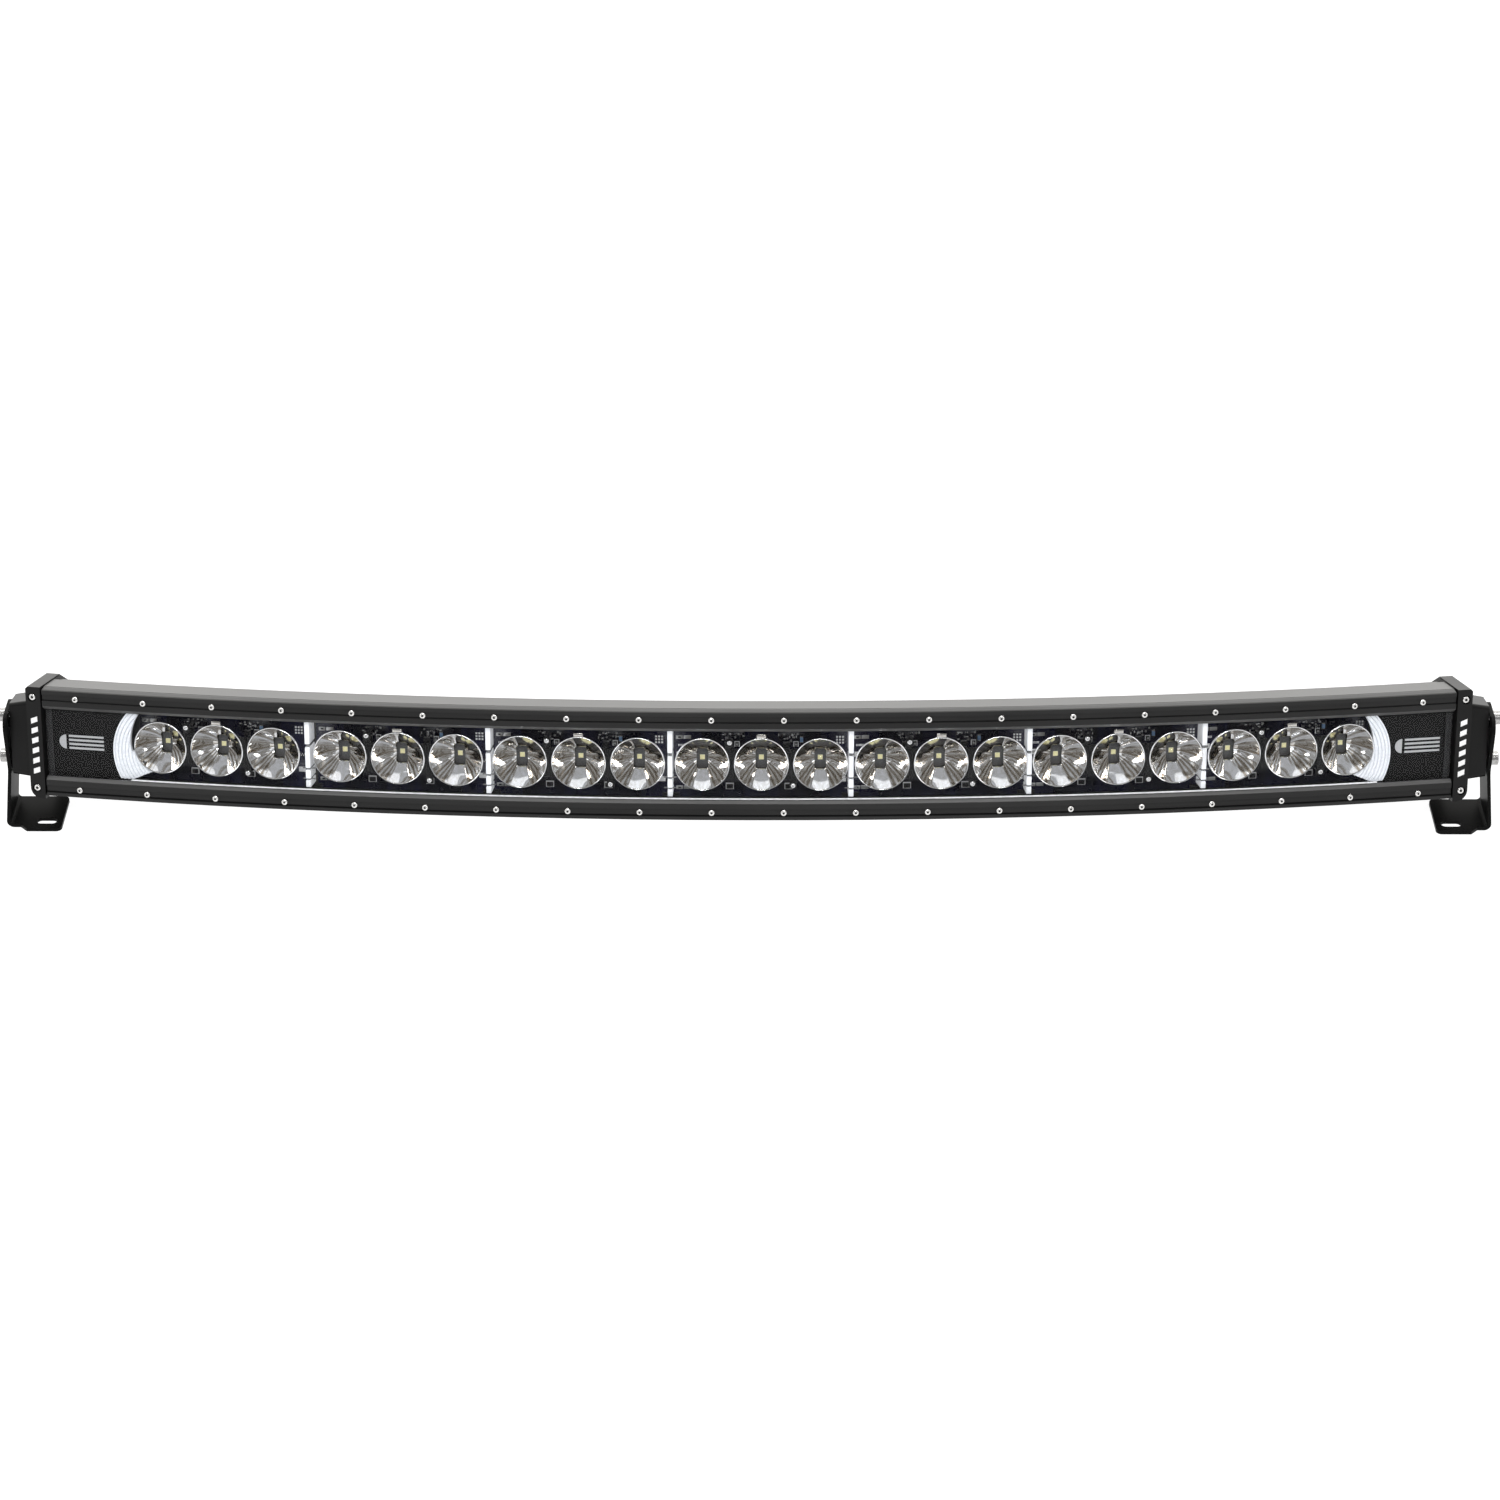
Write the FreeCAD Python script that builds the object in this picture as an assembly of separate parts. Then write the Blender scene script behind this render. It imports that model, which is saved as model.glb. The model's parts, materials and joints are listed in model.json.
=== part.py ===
"""Curved single-row LED light bar on two tilting end brackets.

Row frame: origin midway between the two foot slots, on the surface the feet stand on.
+Z is up, -Y is the way the lamps shine and +X runs along the bar.

The bar is modelled level, in its own frame, then seated on the bracket pivots at REST_TILT:
    x  along the bar, 0 at its middle
    y  depth, 0 at the middle of the front face and growing towards the back
    z  height, 0 at mid height
Everything that follows the curve is a section swept about an upright axis behind the bar, or a
piece made at the middle and turned about that axis by its distance along the curved front.
"""
import FreeCAD, Part
import math
import os
from FreeCAD import Vector

# ---------------------------------------------------------------- driving dimensions, mm
CURVE_RADIUS = 2363.5          # radius of the front face, seen from above
HALF_ARC = 500.0               # half length of the housing, along the front face
CAP_THICKNESS = 11.7           # end cap and end bezel, along the bar
GASKET = 0.8                   # thickness of the front and end gaskets

FRONT_HEIGHT = 38.7            # half height of the rails at the front face
HALF_HEIGHT = 40.0             # half height of the housing
RAIL_DEPTH = 6.0
WINDOW = 24.8                  # half height of the opening between the rails
WINDOW_BEVEL = 2.5
SCREW_HEIGHT = 33.4            # rail screws above and below the middle
SCREW_PITCH = 50.0
SCREWS_PER_RAIL = 20
SCREW_CHANNEL = 2.35           # half width of the channel that the screw heads sit in
CHANNEL_DEPTH = 0.8

HOUSING_FRONT = RAIL_DEPTH + GASKET
PORT_DEPTH = 17.5              # end of the solid screw ports inside the housing
PORT_HEIGHT = 30.4             # half height of the cavity between the screw ports
CAVITY_HEIGHT = 37.2           # half height of the cavity behind the screw ports
BOARD_FRONT = 24.0
BOARD_THICKNESS = 1.6
BACK_WALL = BOARD_FRONT + BOARD_THICKNESS
FIN_ROOT = 29.6
FIN_PITCH = 8.0
FIN_THICKNESS = 2.2
FINS_PER_SIDE = 5
FIN_DEPTH = 58.0               # depth of the middle fins
FIN_STEP = 11.0                # each outer fin is this much shorter
LONG_FINS = 3                  # fins on each side that keep the full depth

# middle of each lamp module along the front; they stand closer together towards +X
MODULE_PLACES = (-374.5, -244.6, -117.6, 9.5, 134.5, 258.6, 382.4)
CUPS_PER_MODULE = 3
CUP_PITCH = 41.0
RIM_RADIUS = 18.2
RIM_DEPTH = 6.2
CUP_WALL = 0.9
CUP_BASE_RADIUS = 4.0
CUP_BASE = 22.0                # depth where the bowl would be CUP_BASE_RADIUS wide
CUP_SLOT_WIDTH = 8.0           # upright opening round the emitter
CUP_SLOT_HEIGHT = 15.0
CUP_SLOT_CORNER = 2.0
CUP_FOOT_RADIUS = 9.4
BOARD_LENGTH = 122.6
BOARD_HEIGHT = 58.0
EMITTER = 3.5

TILT_PIVOT_DEPTH = 76.0        # pivot axis in the bar's own frame
TILT_PIVOT_HEIGHT = -16.0
ADJUST_RADIUS = 30.0           # pivot bolt to adjusting bolt
REST_TILT = 16.4               # lamps turned up from level at rest, degrees
TILT_UP = 10.0                 # travel from rest, degrees
TILT_DOWN = 20.0

ARM_FACE = 522.5               # inner face of each bracket arm from the middle
PLATE = 2.5                    # bracket plate
BEND_RADIUS = 2.5              # inside radius of the bracket's bend
FOOT_TOP_BELOW_PIVOT = 33.7
FOOT_REACH = 486.0             # inner edge of each foot from the middle
SLOT_X = 497.5
SLOT_LENGTH = 14.5
SLOT_RADIUS = 3.4
SLOT_AHEAD_OF_PIVOT = 33.5
BOLT_RADIUS = 3.0              # M6
BOLT_HEAD_RADIUS = 5.0
BOLT_HEAD = 6.0
WASHER_RADIUS = 6.0
WASHER = 1.2
SPACER = 1.0                   # washer between the arm and the end cap
RUNNING_CLEARANCE = 0.08

PIVOT_Y = SLOT_AHEAD_OF_PIVOT
PIVOT_Z = FOOT_TOP_BELOW_PIVOT + PLATE

X_AXIS = Vector(1, 0, 0)
Y_AXIS = Vector(0, 1, 0)
Z_AXIS = Vector(0, 0, 1)
CURVE_CENTRE = Vector(0, CURVE_RADIUS, 0)


# ---------------------------------------------------------------- helpers
def box(low, high):
    """Box between two corners."""
    size = [b - a for a, b in zip(low, high)]
    return Part.makeBox(size[0], size[1], size[2], Vector(*low))


def rod(radius, start, end):
    """Cylinder from one point to another."""
    start, end = Vector(*start), Vector(*end)
    return Part.makeCylinder(radius, (end - start).Length, start, end - start)


def prism(points, direction):
    """Polygon through 3-D points, extruded by a vector."""
    corners = [Vector(*p) for p in points]
    return Part.Face(Part.makePolygon(corners + corners[:1])).extrude(Vector(*direction))


def hexagon_prism(across_flats, start, length):
    """Hexagonal prism along +Y from a point."""
    radius = across_flats / math.sqrt(3)
    x, y, z = start
    points = [(x + radius * math.cos(math.radians(60 * k)), y, z + radius * math.sin(math.radians(60 * k)))
              for k in range(6)]
    return prism(points, (0, length, 0))


def on_curve(shape, arc):
    """Turn a piece made at the middle of the bar to a distance along the curved front."""
    turned = shape.copy()
    turned.rotate(CURVE_CENTRE, Z_AXIS, math.degrees(arc / CURVE_RADIUS))
    return turned


def curved(section, arc_from, arc_to):
    """Sweep a (depth, height) outline along the curve between two distances."""
    points = [Vector(0, depth, height) for depth, height in section]
    face = Part.Face(Part.makePolygon(points + points[:1]))
    face.rotate(CURVE_CENTRE, Z_AXIS, math.degrees(arc_from / CURVE_RADIUS))
    return face.revolve(CURVE_CENTRE, Z_AXIS, math.degrees((arc_to - arc_from) / CURVE_RADIUS))


def mirrored_x(shape):
    return shape.mirror(Vector(0, 0, 0), X_AXIS)


def mirrored_z(shape):
    return shape.mirror(Vector(0, 0, 0), Z_AXIS)


def group(shapes):
    """Identical loose pieces kept as separate solids of one node."""
    solids = []
    for shape in shapes:
        solids += shape.Solids
    return Part.makeCompound(solids)


def seat_on_pivots(shape):
    """Move a piece from the bar's own frame to the row frame, turned up to the rest tilt."""
    placed = shape.copy()
    placed.translate(Vector(0, PIVOT_Y - TILT_PIVOT_DEPTH, PIVOT_Z - TILT_PIVOT_HEIGHT))
    placed.rotate(Vector(0, PIVOT_Y, PIVOT_Z), X_AXIS, -REST_TILT)
    return placed


def screw_places():
    """Distance along the curve of every rail screw."""
    first = -SCREW_PITCH * (SCREWS_PER_RAIL - 1) / 2
    return [first + SCREW_PITCH * k for k in range(SCREWS_PER_RAIL)]


def cup_offsets():
    """Cup centres within a module."""
    return [CUP_PITCH * (k - (CUPS_PER_MODULE - 1) / 2) for k in range(CUPS_PER_MODULE)]


# ---------------------------------------------------------------- screws
RAIL_SCREW_RADIUS = 1.25       # M2.5
RAIL_SCREW_HEAD = 2.2
RAIL_SCREW_HEAD_HEIGHT = 1.8
RAIL_SCREW_LENGTH = 11.0
RAIL_SCREW_KEY = 1.5
END_SCREW_RADIUS = 1.5         # M3
END_SCREW_HEAD = 2.6
END_SCREW_HEAD_HEIGHT = 1.65
END_SCREW_KEY = 2.0
HOLE_CLEARANCE = 0.05
SOCKET_SHARE = 0.55            # depth of the key socket, as a share of the head


def socket_screw(shank, length, head_radius, head_height, key, crown_radius):
    """Socket screw along +Y, with the underside of its head at the origin."""
    head = Part.makeCylinder(head_radius, head_height, Vector(0, -head_height, 0), Y_AXIS)
    crown = [e for e in head.Edges if abs(e.BoundBox.YMax + head_height) < 1e-6]
    head = head.makeFillet(crown_radius, crown)
    socket = hexagon_prism(key, (0, -head_height - 0.5, 0), head_height * SOCKET_SHARE + 0.5)
    shaft = Part.makeCylinder(shank, length, Vector(0, 0, 0), Y_AXIS)
    return head.cut(socket).fuse(shaft).removeSplitter()


def button_screw(shank, length, head_radius, head_height, key):
    """Round-headed socket screw."""
    return socket_screw(shank, length, head_radius, head_height, key, head_height * 0.6)


def rail_screws(height):
    screw = button_screw(RAIL_SCREW_RADIUS, RAIL_SCREW_LENGTH, RAIL_SCREW_HEAD, RAIL_SCREW_HEAD_HEIGHT,
                         RAIL_SCREW_KEY)
    screw.translate(Vector(0, CHANNEL_DEPTH, height))
    return group([on_curve(screw, arc) for arc in screw_places()])


def rail_screw_holes(height, start, end):
    hole = rod(RAIL_SCREW_RADIUS + HOLE_CLEARANCE, (0, start, height), (0, end, height))
    return Part.makeCompound([on_curve(hole, arc) for arc in screw_places()])


# ---------------------------------------------------------------- lamp boards
PIN_RADIUS = 1.25              # long screws that hold a reflector module and its board to the housing
PIN_HEAD_RADIUS = 1.9
PIN_HEAD = 1.8
PIN_HEIGHT = 15.5              # below one web of the module and above the other
PIN_ASIDE = 1.5                # off the middle of the web, away from the module's middle
EAR_FRONT = 7.2
EAR = 1.6                      # thickness of the reflector's ear under a pin's head
EMITTER_BASE = 0.7
DOME_RADIUS = 1.35


def pin_offsets():
    """(along, height) of the two pins of a module, between its cups."""
    along = CUP_PITCH / 2 + PIN_ASIDE
    return [(along, -PIN_HEIGHT), (-along, PIN_HEIGHT)]


def pin_holes(start, end):
    return [rod(PIN_RADIUS + HOLE_CLEARANCE, (x, start, z), (x, end, z)) for x, z in pin_offsets()]


def led_board():
    board = box((-BOARD_LENGTH / 2, BOARD_FRONT, -BOARD_HEIGHT / 2),
                (BOARD_LENGTH / 2, BACK_WALL, BOARD_HEIGHT / 2))
    return board.cut(pin_holes(BOARD_FRONT - 1, BACK_WALL + 1))


def module_pins():
    pin = button_screw(PIN_RADIUS, FIN_ROOT - EAR_FRONT - 0.8, PIN_HEAD_RADIUS, PIN_HEAD, RAIL_SCREW_KEY)
    placed = []
    for arc in MODULE_PLACES:
        for x, z in pin_offsets():
            one = pin.copy()
            one.translate(Vector(x, EAR_FRONT, z))
            placed.append(on_curve(one, arc))
    return group(placed)


def led_emitters():
    """One square emitter with a clear dome in the middle of every cup."""
    half = EMITTER / 2
    placed = []
    for arc in MODULE_PLACES:
        for x in cup_offsets():
            base = box((x - half, BOARD_FRONT - EMITTER_BASE, -half), (x + half, BOARD_FRONT, half))
            dome = Part.makeSphere(DOME_RADIUS, Vector(x, BOARD_FRONT - EMITTER_BASE, 0))
            keep = box((x - half, BOARD_FRONT - 5, -half), (x + half, BOARD_FRONT - EMITTER_BASE / 2, half))
            placed.append(on_curve(base.fuse(dome.common(keep)).removeSplitter(), arc))
    return group(placed)


def on_board(width, thickness, height, x, z):
    """Upright block standing on the front of a board, centred at x and z."""
    return box((x - width / 2, BOARD_FRONT - thickness, z - height / 2),
               (x + width / 2, BOARD_FRONT, z + height / 2))


def driver_components():
    """Chips, chokes and capacitors of the lamp driver, above and between the cups, and the end pads."""
    pieces = []
    for side in (-1, 1):
        middle = side * CUP_PITCH / 2
        pieces.append(on_board(5.0, 1.4, 4.0, middle - 3.0, 8.6))
        pieces.append(on_board(3.0, 1.8, 3.4, middle + 3.6, 9.4))
        pieces.append(on_board(2.4, 2.4, 3.0, middle + 7.4, 12.6))
        pieces.append(on_board(2.0, 1.0, 1.4, middle - 6.6, 13.4))
    pieces.append(on_board(11.0, 0.8, 2.8, -54.0, 14.4))
    pieces.append(on_board(11.0, 0.8, 2.8, -54.0, -24.0))
    pieces.append(on_board(6.6, 0.5, 6.0, 55.5, 12.4))
    pieces.append(on_board(6.0, 1.2, 4.2, -56.5, 2.0))
    pieces.append(on_board(6.0, 1.2, 4.2, 56.5, -16.0))
    return group([on_curve(piece, arc) for arc in MODULE_PLACES for piece in pieces])


def joint_places():
    """Distance along the curve of the joints between neighbouring modules."""
    return [(a + b) / 2 for a, b in zip(MODULE_PLACES, MODULE_PLACES[1:])]


def board_links():
    """Two plug links across every joint between boards."""
    board_end = BOARD_FRONT - BOARD_LENGTH ** 2 / (8 * CURVE_RADIUS) - 0.05
    placed = []
    for arc in joint_places():
        for height in (-27.2, 27.2):
            link = box((-6.0, board_end - 1.6, height - 1.5), (6.0, board_end, height + 1.5))
            placed.append(on_curve(link, arc))
    return group(placed)


# ---------------------------------------------------------------- reflectors
WEB_HALF_HEIGHT = 10.8
WEB_THICKNESS = 1.6
RIM_LIP = 0.6
TAB_WIDTH = 6.6
TAB_HEIGHT = 3.0


def bowl_radius(depth):
    """Inner radius of the bowl: a parabola from its bottom to the rim."""
    gain = (RIM_RADIUS ** 2 - CUP_BASE_RADIUS ** 2) / (CUP_BASE - RIM_DEPTH)
    return math.sqrt(CUP_BASE_RADIUS ** 2 + gain * (CUP_BASE - depth))


def bowl_arc(wall):
    """Arc through three points of the bowl, moved out by a wall thickness."""
    middle = (RIM_DEPTH + CUP_BASE) / 2
    points = [Vector(bowl_radius(d) + wall, d, 0) for d in (RIM_DEPTH, middle, CUP_BASE)]
    return Part.Arc(*points).toShape()


def bowl_space(wall=0.0):
    """Solid that fills a cup from its rim to its bottom, grown by a wall thickness."""
    arc = bowl_arc(wall)
    rim, base = sorted((vertex.Point for vertex in arc.Vertexes), key=lambda point: point.y)
    corners = [base, Vector(0, base.y, 0), Vector(0, rim.y, 0), rim]
    edges = [arc] + [Part.makeLine(a, b) for a, b in zip(corners, corners[1:])]
    return Part.Face(Part.Wire(Part.__sortEdges__(edges))).revolve(Vector(0, 0, 0), Y_AXIS, 360)


def emitter_slot():
    """Upright opening with rounded corners through the bottom of a cup and its foot."""
    half_width, half_height = CUP_SLOT_WIDTH / 2, CUP_SLOT_HEIGHT / 2
    slot = box((-half_width, RIM_DEPTH, -half_height), (half_width, BOARD_FRONT + 1, half_height))
    return slot.makeFillet(CUP_SLOT_CORNER, [e for e in slot.Edges if e.BoundBox.YLength > 1])


def cup():
    """Bowl with a thickened rim, on a foot that stands on the board."""
    shell = bowl_space(CUP_WALL)
    lip = rod(RIM_RADIUS + CUP_WALL, (0, RIM_DEPTH - RIM_LIP, 0), (0, RIM_DEPTH + 0.6, 0))
    foot = rod(CUP_FOOT_RADIUS, (0, CUP_BASE - 2.0, 0), (0, BOARD_FRONT, 0))
    mouth = rod(RIM_RADIUS, (0, RIM_DEPTH - RIM_LIP - 1, 0), (0, RIM_DEPTH, 0))
    return shell.fuse([lip, foot]).cut([bowl_space(), mouth, emitter_slot()])


def reflector_module():
    """Three cups moulded together, with webs, an ear under each pin and a tab over the middle cup."""
    cups, hollows = [], []
    for x in cup_offsets():
        one, space = cup(), bowl_space(CUP_WALL / 2)
        one.translate(Vector(x, 0, 0))
        space.translate(Vector(x, 0, 0))
        cups.append(one)
        hollows.append(space)
    extras = []
    reach = CUP_PITCH / 2 - RIM_RADIUS + 4.0
    for x in (-CUP_PITCH / 2, CUP_PITCH / 2):
        extras.append(box((x - reach, RIM_DEPTH, -WEB_HALF_HEIGHT),
                          (x + reach, RIM_DEPTH + WEB_THICKNESS, WEB_HALF_HEIGHT)))
    for x, z in pin_offsets():
        up = math.copysign(1, z)
        low, high = sorted((up * (WEB_HALF_HEIGHT - 1.5), z + up * 2.4))
        extras.append(box((x - 2.6, EAR_FRONT, low), (x + 2.6, EAR_FRONT + EAR, high)))
    extras = [piece.cut(hollows) for piece in extras]
    tab_low = RIM_RADIUS + 0.3
    tab = box((-TAB_WIDTH / 2, RIM_DEPTH, tab_low), (TAB_WIDTH / 2, RIM_DEPTH + 1.2, tab_low + TAB_HEIGHT))
    module = cups[0].fuse(cups[1:] + extras + [tab])
    return module.cut(pin_holes(EAR_FRONT - 1, EAR_FRONT + EAR + 1)).removeSplitter()


# ---------------------------------------------------------------- light guides and end trim
DIVIDER_WIDTH = 3.6
DIVIDER_HALF_HEIGHT = 24.4
DIVIDER_FRONT = 9.0
CRESCENT_PLACES = (-417.0, 421.5)    # what the crescents are drawn round, along the front
CRESCENT_OUTER = 42.0          # about a point towards the bar's middle and a little low
CRESCENT_SHIFT = 8.3
CRESCENT_DROP = 4.7
CRESCENT_UPPER = 35.5          # inner edge of the upper part
CRESCENT_UPPER_SHIFT = 14.7
CRESCENT_UPPER_HEIGHT = 2.9
CRESCENT_UPPER_FROM = -4.0
CRESCENT_TAIL = ((9.1, -19.8), (19.8, -24.4))    # slanted lower end, outwards from the place
CRESCENT_CUP_GAP = 1.4         # inner edge of the lower part, off the end cup
CRESCENT_FRONT = 6.9
CRESCENT_BACK = 9.4
MASK_FRONT = 7.2
MASK_BACK = 9.0
MASK_END = 499.0


def divider_bars():
    """White bars between neighbouring modules."""
    half = DIVIDER_WIDTH / 2
    back = BOARD_FRONT - BOARD_LENGTH ** 2 / (8 * CURVE_RADIUS) - 0.05
    bar = box((-half, DIVIDER_FRONT, -DIVIDER_HALF_HEIGHT), (half, back, DIVIDER_HALF_HEIGHT))
    return group([on_curve(bar, arc) for arc in joint_places()])


def end_cup_place(side):
    """Distance along the curve of the first or last cup."""
    if side > 0:
        return MODULE_PLACES[-1] + cup_offsets()[-1]
    return MODULE_PLACES[0] + cup_offsets()[0]


def at_end(shape, side):
    """Move a piece drawn round the origin, with +X outwards, to the crescent of one end."""
    return on_curve(shape if side > 0 else mirrored_x(shape), CRESCENT_PLACES[side > 0])


def crescent_disc():
    """Everything inside the crescent's outer edge."""
    return rod(CRESCENT_OUTER, (-CRESCENT_SHIFT, 0, -CRESCENT_DROP),
               (-CRESCENT_SHIFT, BOARD_FRONT, -CRESCENT_DROP))


def crescent_hollow():
    """Everything inside the upper part's inner edge, and beyond the slanted lower end."""
    upper = rod(CRESCENT_UPPER, (-CRESCENT_UPPER_SHIFT, 0, CRESCENT_UPPER_HEIGHT),
                (-CRESCENT_UPPER_SHIFT, BOARD_FRONT, CRESCENT_UPPER_HEIGHT))
    above = box((-CRESCENT_OUTER * 2, 0, CRESCENT_UPPER_FROM),
                (CRESCENT_OUTER, BOARD_FRONT, CRESCENT_OUTER * 2))
    inner, outer = CRESCENT_TAIL
    tail = prism([(-5, 0, inner[1]), (inner[0], 0, inner[1]), (outer[0], 0, outer[1]),
                  (outer[0], 0, -PORT_HEIGHT), (-5, 0, -PORT_HEIGHT)], (0, BOARD_FRONT, 0))
    return [upper.common(above), tail]


def end_crescent(side):
    """Crescent round the outer side of the first or last cup."""
    arcs = sorted((end_cup_place(side) + side * 2.0, side * MASK_END))
    slab = curved([(CRESCENT_FRONT, -WINDOW), (CRESCENT_FRONT, WINDOW), (CRESCENT_BACK, WINDOW),
                   (CRESCENT_BACK, -WINDOW)], arcs[0], arcs[1])
    cup_space = rod(RIM_RADIUS + CUP_WALL + CRESCENT_CUP_GAP, (0, 0, 0), (0, BOARD_FRONT, 0))
    hollow = [at_end(piece, side) for piece in crescent_hollow()]
    return slab.common(at_end(crescent_disc(), side)).cut([on_curve(cup_space, end_cup_place(side))] + hollow)


def end_mask(side):
    """Blank panel between the crescent and the end of the window."""
    arcs = sorted((end_cup_place(side) + side * 8.0, side * MASK_END))
    slab = curved([(MASK_FRONT, -PORT_HEIGHT), (MASK_FRONT, PORT_HEIGHT), (MASK_BACK, PORT_HEIGHT),
                   (MASK_BACK, -PORT_HEIGHT)], arcs[0], arcs[1])
    return slab.cut(at_end(crescent_disc(), side))


# ---------------------------------------------------------------- housing
GLAND_ARC = 60.0               # cable gland, with the vent as far on the other side
PAD_RADIUS = 15.0
PAD_DEPTH = 36.0
GLAND_THREAD = 6.0             # M12
VENT_THREAD = 4.0              # M8
REAR_ROOM_RADIUS = 17.0
END_SCREW_LENGTH = 15.0
END_SCREW_SINK = 3.0           # depth of the end screws' head recess


def end_screw_places():
    """(depth, height) of the four screws that hold each end cap."""
    return [(13.5, 35.2), (13.5, -35.2), (27.7, 32.6), (27.7, -32.6)]


def end_screw_rods(radius, along_from, along_to):
    """Rods along the bar at the end screws, measured outwards from the housing's +X end."""
    rods = [rod(radius, (along_from, d, z), (along_to, d, z)) for d, z in end_screw_places()]
    return [on_curve(one, HALF_ARC) for one in rods]


def housing_shell():
    """Trough with screw ports along its front edges and a cavity for the boards."""
    chamfer = 5.0
    outer = [(HOUSING_FRONT, HALF_HEIGHT), (FIN_ROOT - chamfer, HALF_HEIGHT),
             (FIN_ROOT, HALF_HEIGHT - chamfer)]
    inner = [(HOUSING_FRONT, PORT_HEIGHT), (PORT_DEPTH, PORT_HEIGHT), (PORT_DEPTH, CAVITY_HEIGHT),
             (BACK_WALL, CAVITY_HEIGHT)]
    outline = outer + [(d, -h) for d, h in reversed(outer)] + [(d, -h) for d, h in inner]
    outline += list(reversed(inner))
    return curved(outline, -HALF_ARC, HALF_ARC)


def fins():
    """Cooling fins along the whole back, shorter towards the top and bottom."""
    overlap, tip = 0.5, 0.5
    blades = []
    for k in range(FINS_PER_SIDE):
        depth = FIN_DEPTH - FIN_STEP * max(0, k - LONG_FINS + 1)
        low = FIN_PITCH * (k + 0.5) - FIN_THICKNESS / 2
        high = low + FIN_THICKNESS
        blade = [(FIN_ROOT - overlap, low), (depth - tip, low), (depth, low + tip), (depth, high - tip),
                 (depth - tip, high), (FIN_ROOT - overlap, high)]
        blades.append(curved(blade, -HALF_ARC, HALF_ARC))
        blades.append(curved([(d, -h) for d, h in reversed(blade)], -HALF_ARC, HALF_ARC))
    return blades


def housing():
    body = housing_shell().fuse(fins())
    for arc, thread in ((GLAND_ARC, GLAND_THREAD), (-GLAND_ARC, VENT_THREAD)):
        room = rod(REAR_ROOM_RADIUS, (0, FIN_ROOT + 0.2, 0), (0, FIN_DEPTH + 2, 0))
        pad = rod(PAD_RADIUS, (0, BACK_WALL + 0.8, 0), (0, PAD_DEPTH, 0))
        hole = rod(thread + HOLE_CLEARANCE, (0, BACK_WALL - 2, 0), (0, FIN_DEPTH, 0))
        body = body.cut(on_curve(room, arc)).fuse(on_curve(pad, arc)).cut(on_curve(hole, arc))
    for height in (SCREW_HEIGHT, -SCREW_HEIGHT):
        body = body.cut(rail_screw_holes(height, HOUSING_FRONT - 1, CHANNEL_DEPTH + RAIL_SCREW_LENGTH + 0.4))
    for arc in MODULE_PLACES:
        holes = pin_holes(BACK_WALL - 1, FIN_ROOT - 0.6)
        body = body.cut([on_curve(hole, arc) for hole in holes])
    depth = END_SCREW_LENGTH - CAP_THICKNESS + END_SCREW_SINK + 0.6
    end_holes = end_screw_rods(END_SCREW_RADIUS + HOLE_CLEARANCE, -depth, 1.0)
    body = body.cut(end_holes + [mirrored_x(hole) for hole in end_holes])
    return body.removeSplitter()


# ---------------------------------------------------------------- front: rails, lens, gasket
LENS_FRONT = 1.8
LENS_FLANGE_FRONT = 3.6
LENS_INSIDE = 4.3
LENS_HALF_HEIGHT = 24.4
LENS_FLANGE_HEIGHT = 31.2
RAIL_GAP = 0.2                 # rails stop just short of the end gaskets
LENS_GAP = 1.4
GASKET_INNER = 26.2
GASKET_OUTER = 38.4


def upper_rail():
    low, high = SCREW_HEIGHT - SCREW_CHANNEL, SCREW_HEIGHT + SCREW_CHANNEL
    pocket_depth, pocket_height = LENS_FLANGE_FRONT - 0.1, LENS_FLANGE_HEIGHT + 0.2
    section = [(0, WINDOW + WINDOW_BEVEL), (0, low), (CHANNEL_DEPTH, low), (CHANNEL_DEPTH, high), (0, high),
               (0, FRONT_HEIGHT), (RAIL_DEPTH - 1, HALF_HEIGHT), (RAIL_DEPTH, HALF_HEIGHT),
               (RAIL_DEPTH, pocket_height), (pocket_depth, pocket_height), (pocket_depth, WINDOW),
               (WINDOW_BEVEL, WINDOW)]
    rail = curved(section, -HALF_ARC + RAIL_GAP, HALF_ARC - RAIL_GAP)
    return rail.cut(rail_screw_holes(SCREW_HEIGHT, -1, RAIL_DEPTH + 1))


def lens():
    edge = 0.4
    half = [(LENS_FRONT, LENS_HALF_HEIGHT - edge), (LENS_FRONT + edge, LENS_HALF_HEIGHT),
            (LENS_FLANGE_FRONT, LENS_HALF_HEIGHT), (LENS_FLANGE_FRONT, LENS_FLANGE_HEIGHT),
            (RAIL_DEPTH, LENS_FLANGE_HEIGHT), (RAIL_DEPTH, LENS_HALF_HEIGHT + 1.6),
            (LENS_INSIDE, LENS_HALF_HEIGHT)]
    outline = half + [(d, -h) for d, h in reversed(half)]
    return curved(outline, -HALF_ARC + LENS_GAP, HALF_ARC - LENS_GAP)


def lens_gasket():
    """Flat ring squeezed between the lens and rails in front and the housing behind."""
    def slab(low, high, arc):
        section = [(RAIL_DEPTH, low), (RAIL_DEPTH, high), (HOUSING_FRONT, high), (HOUSING_FRONT, low)]
        return curved(section, -arc, arc)

    reach = HALF_ARC - 0.6
    ring = slab(-GASKET_OUTER, GASKET_OUTER, reach).cut(slab(-GASKET_INNER, GASKET_INNER, reach - 4.0))
    for height in (SCREW_HEIGHT, -SCREW_HEIGHT):
        ring = ring.cut(rail_screw_holes(height, 0, HOUSING_FRONT + 1))
    return ring


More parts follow.
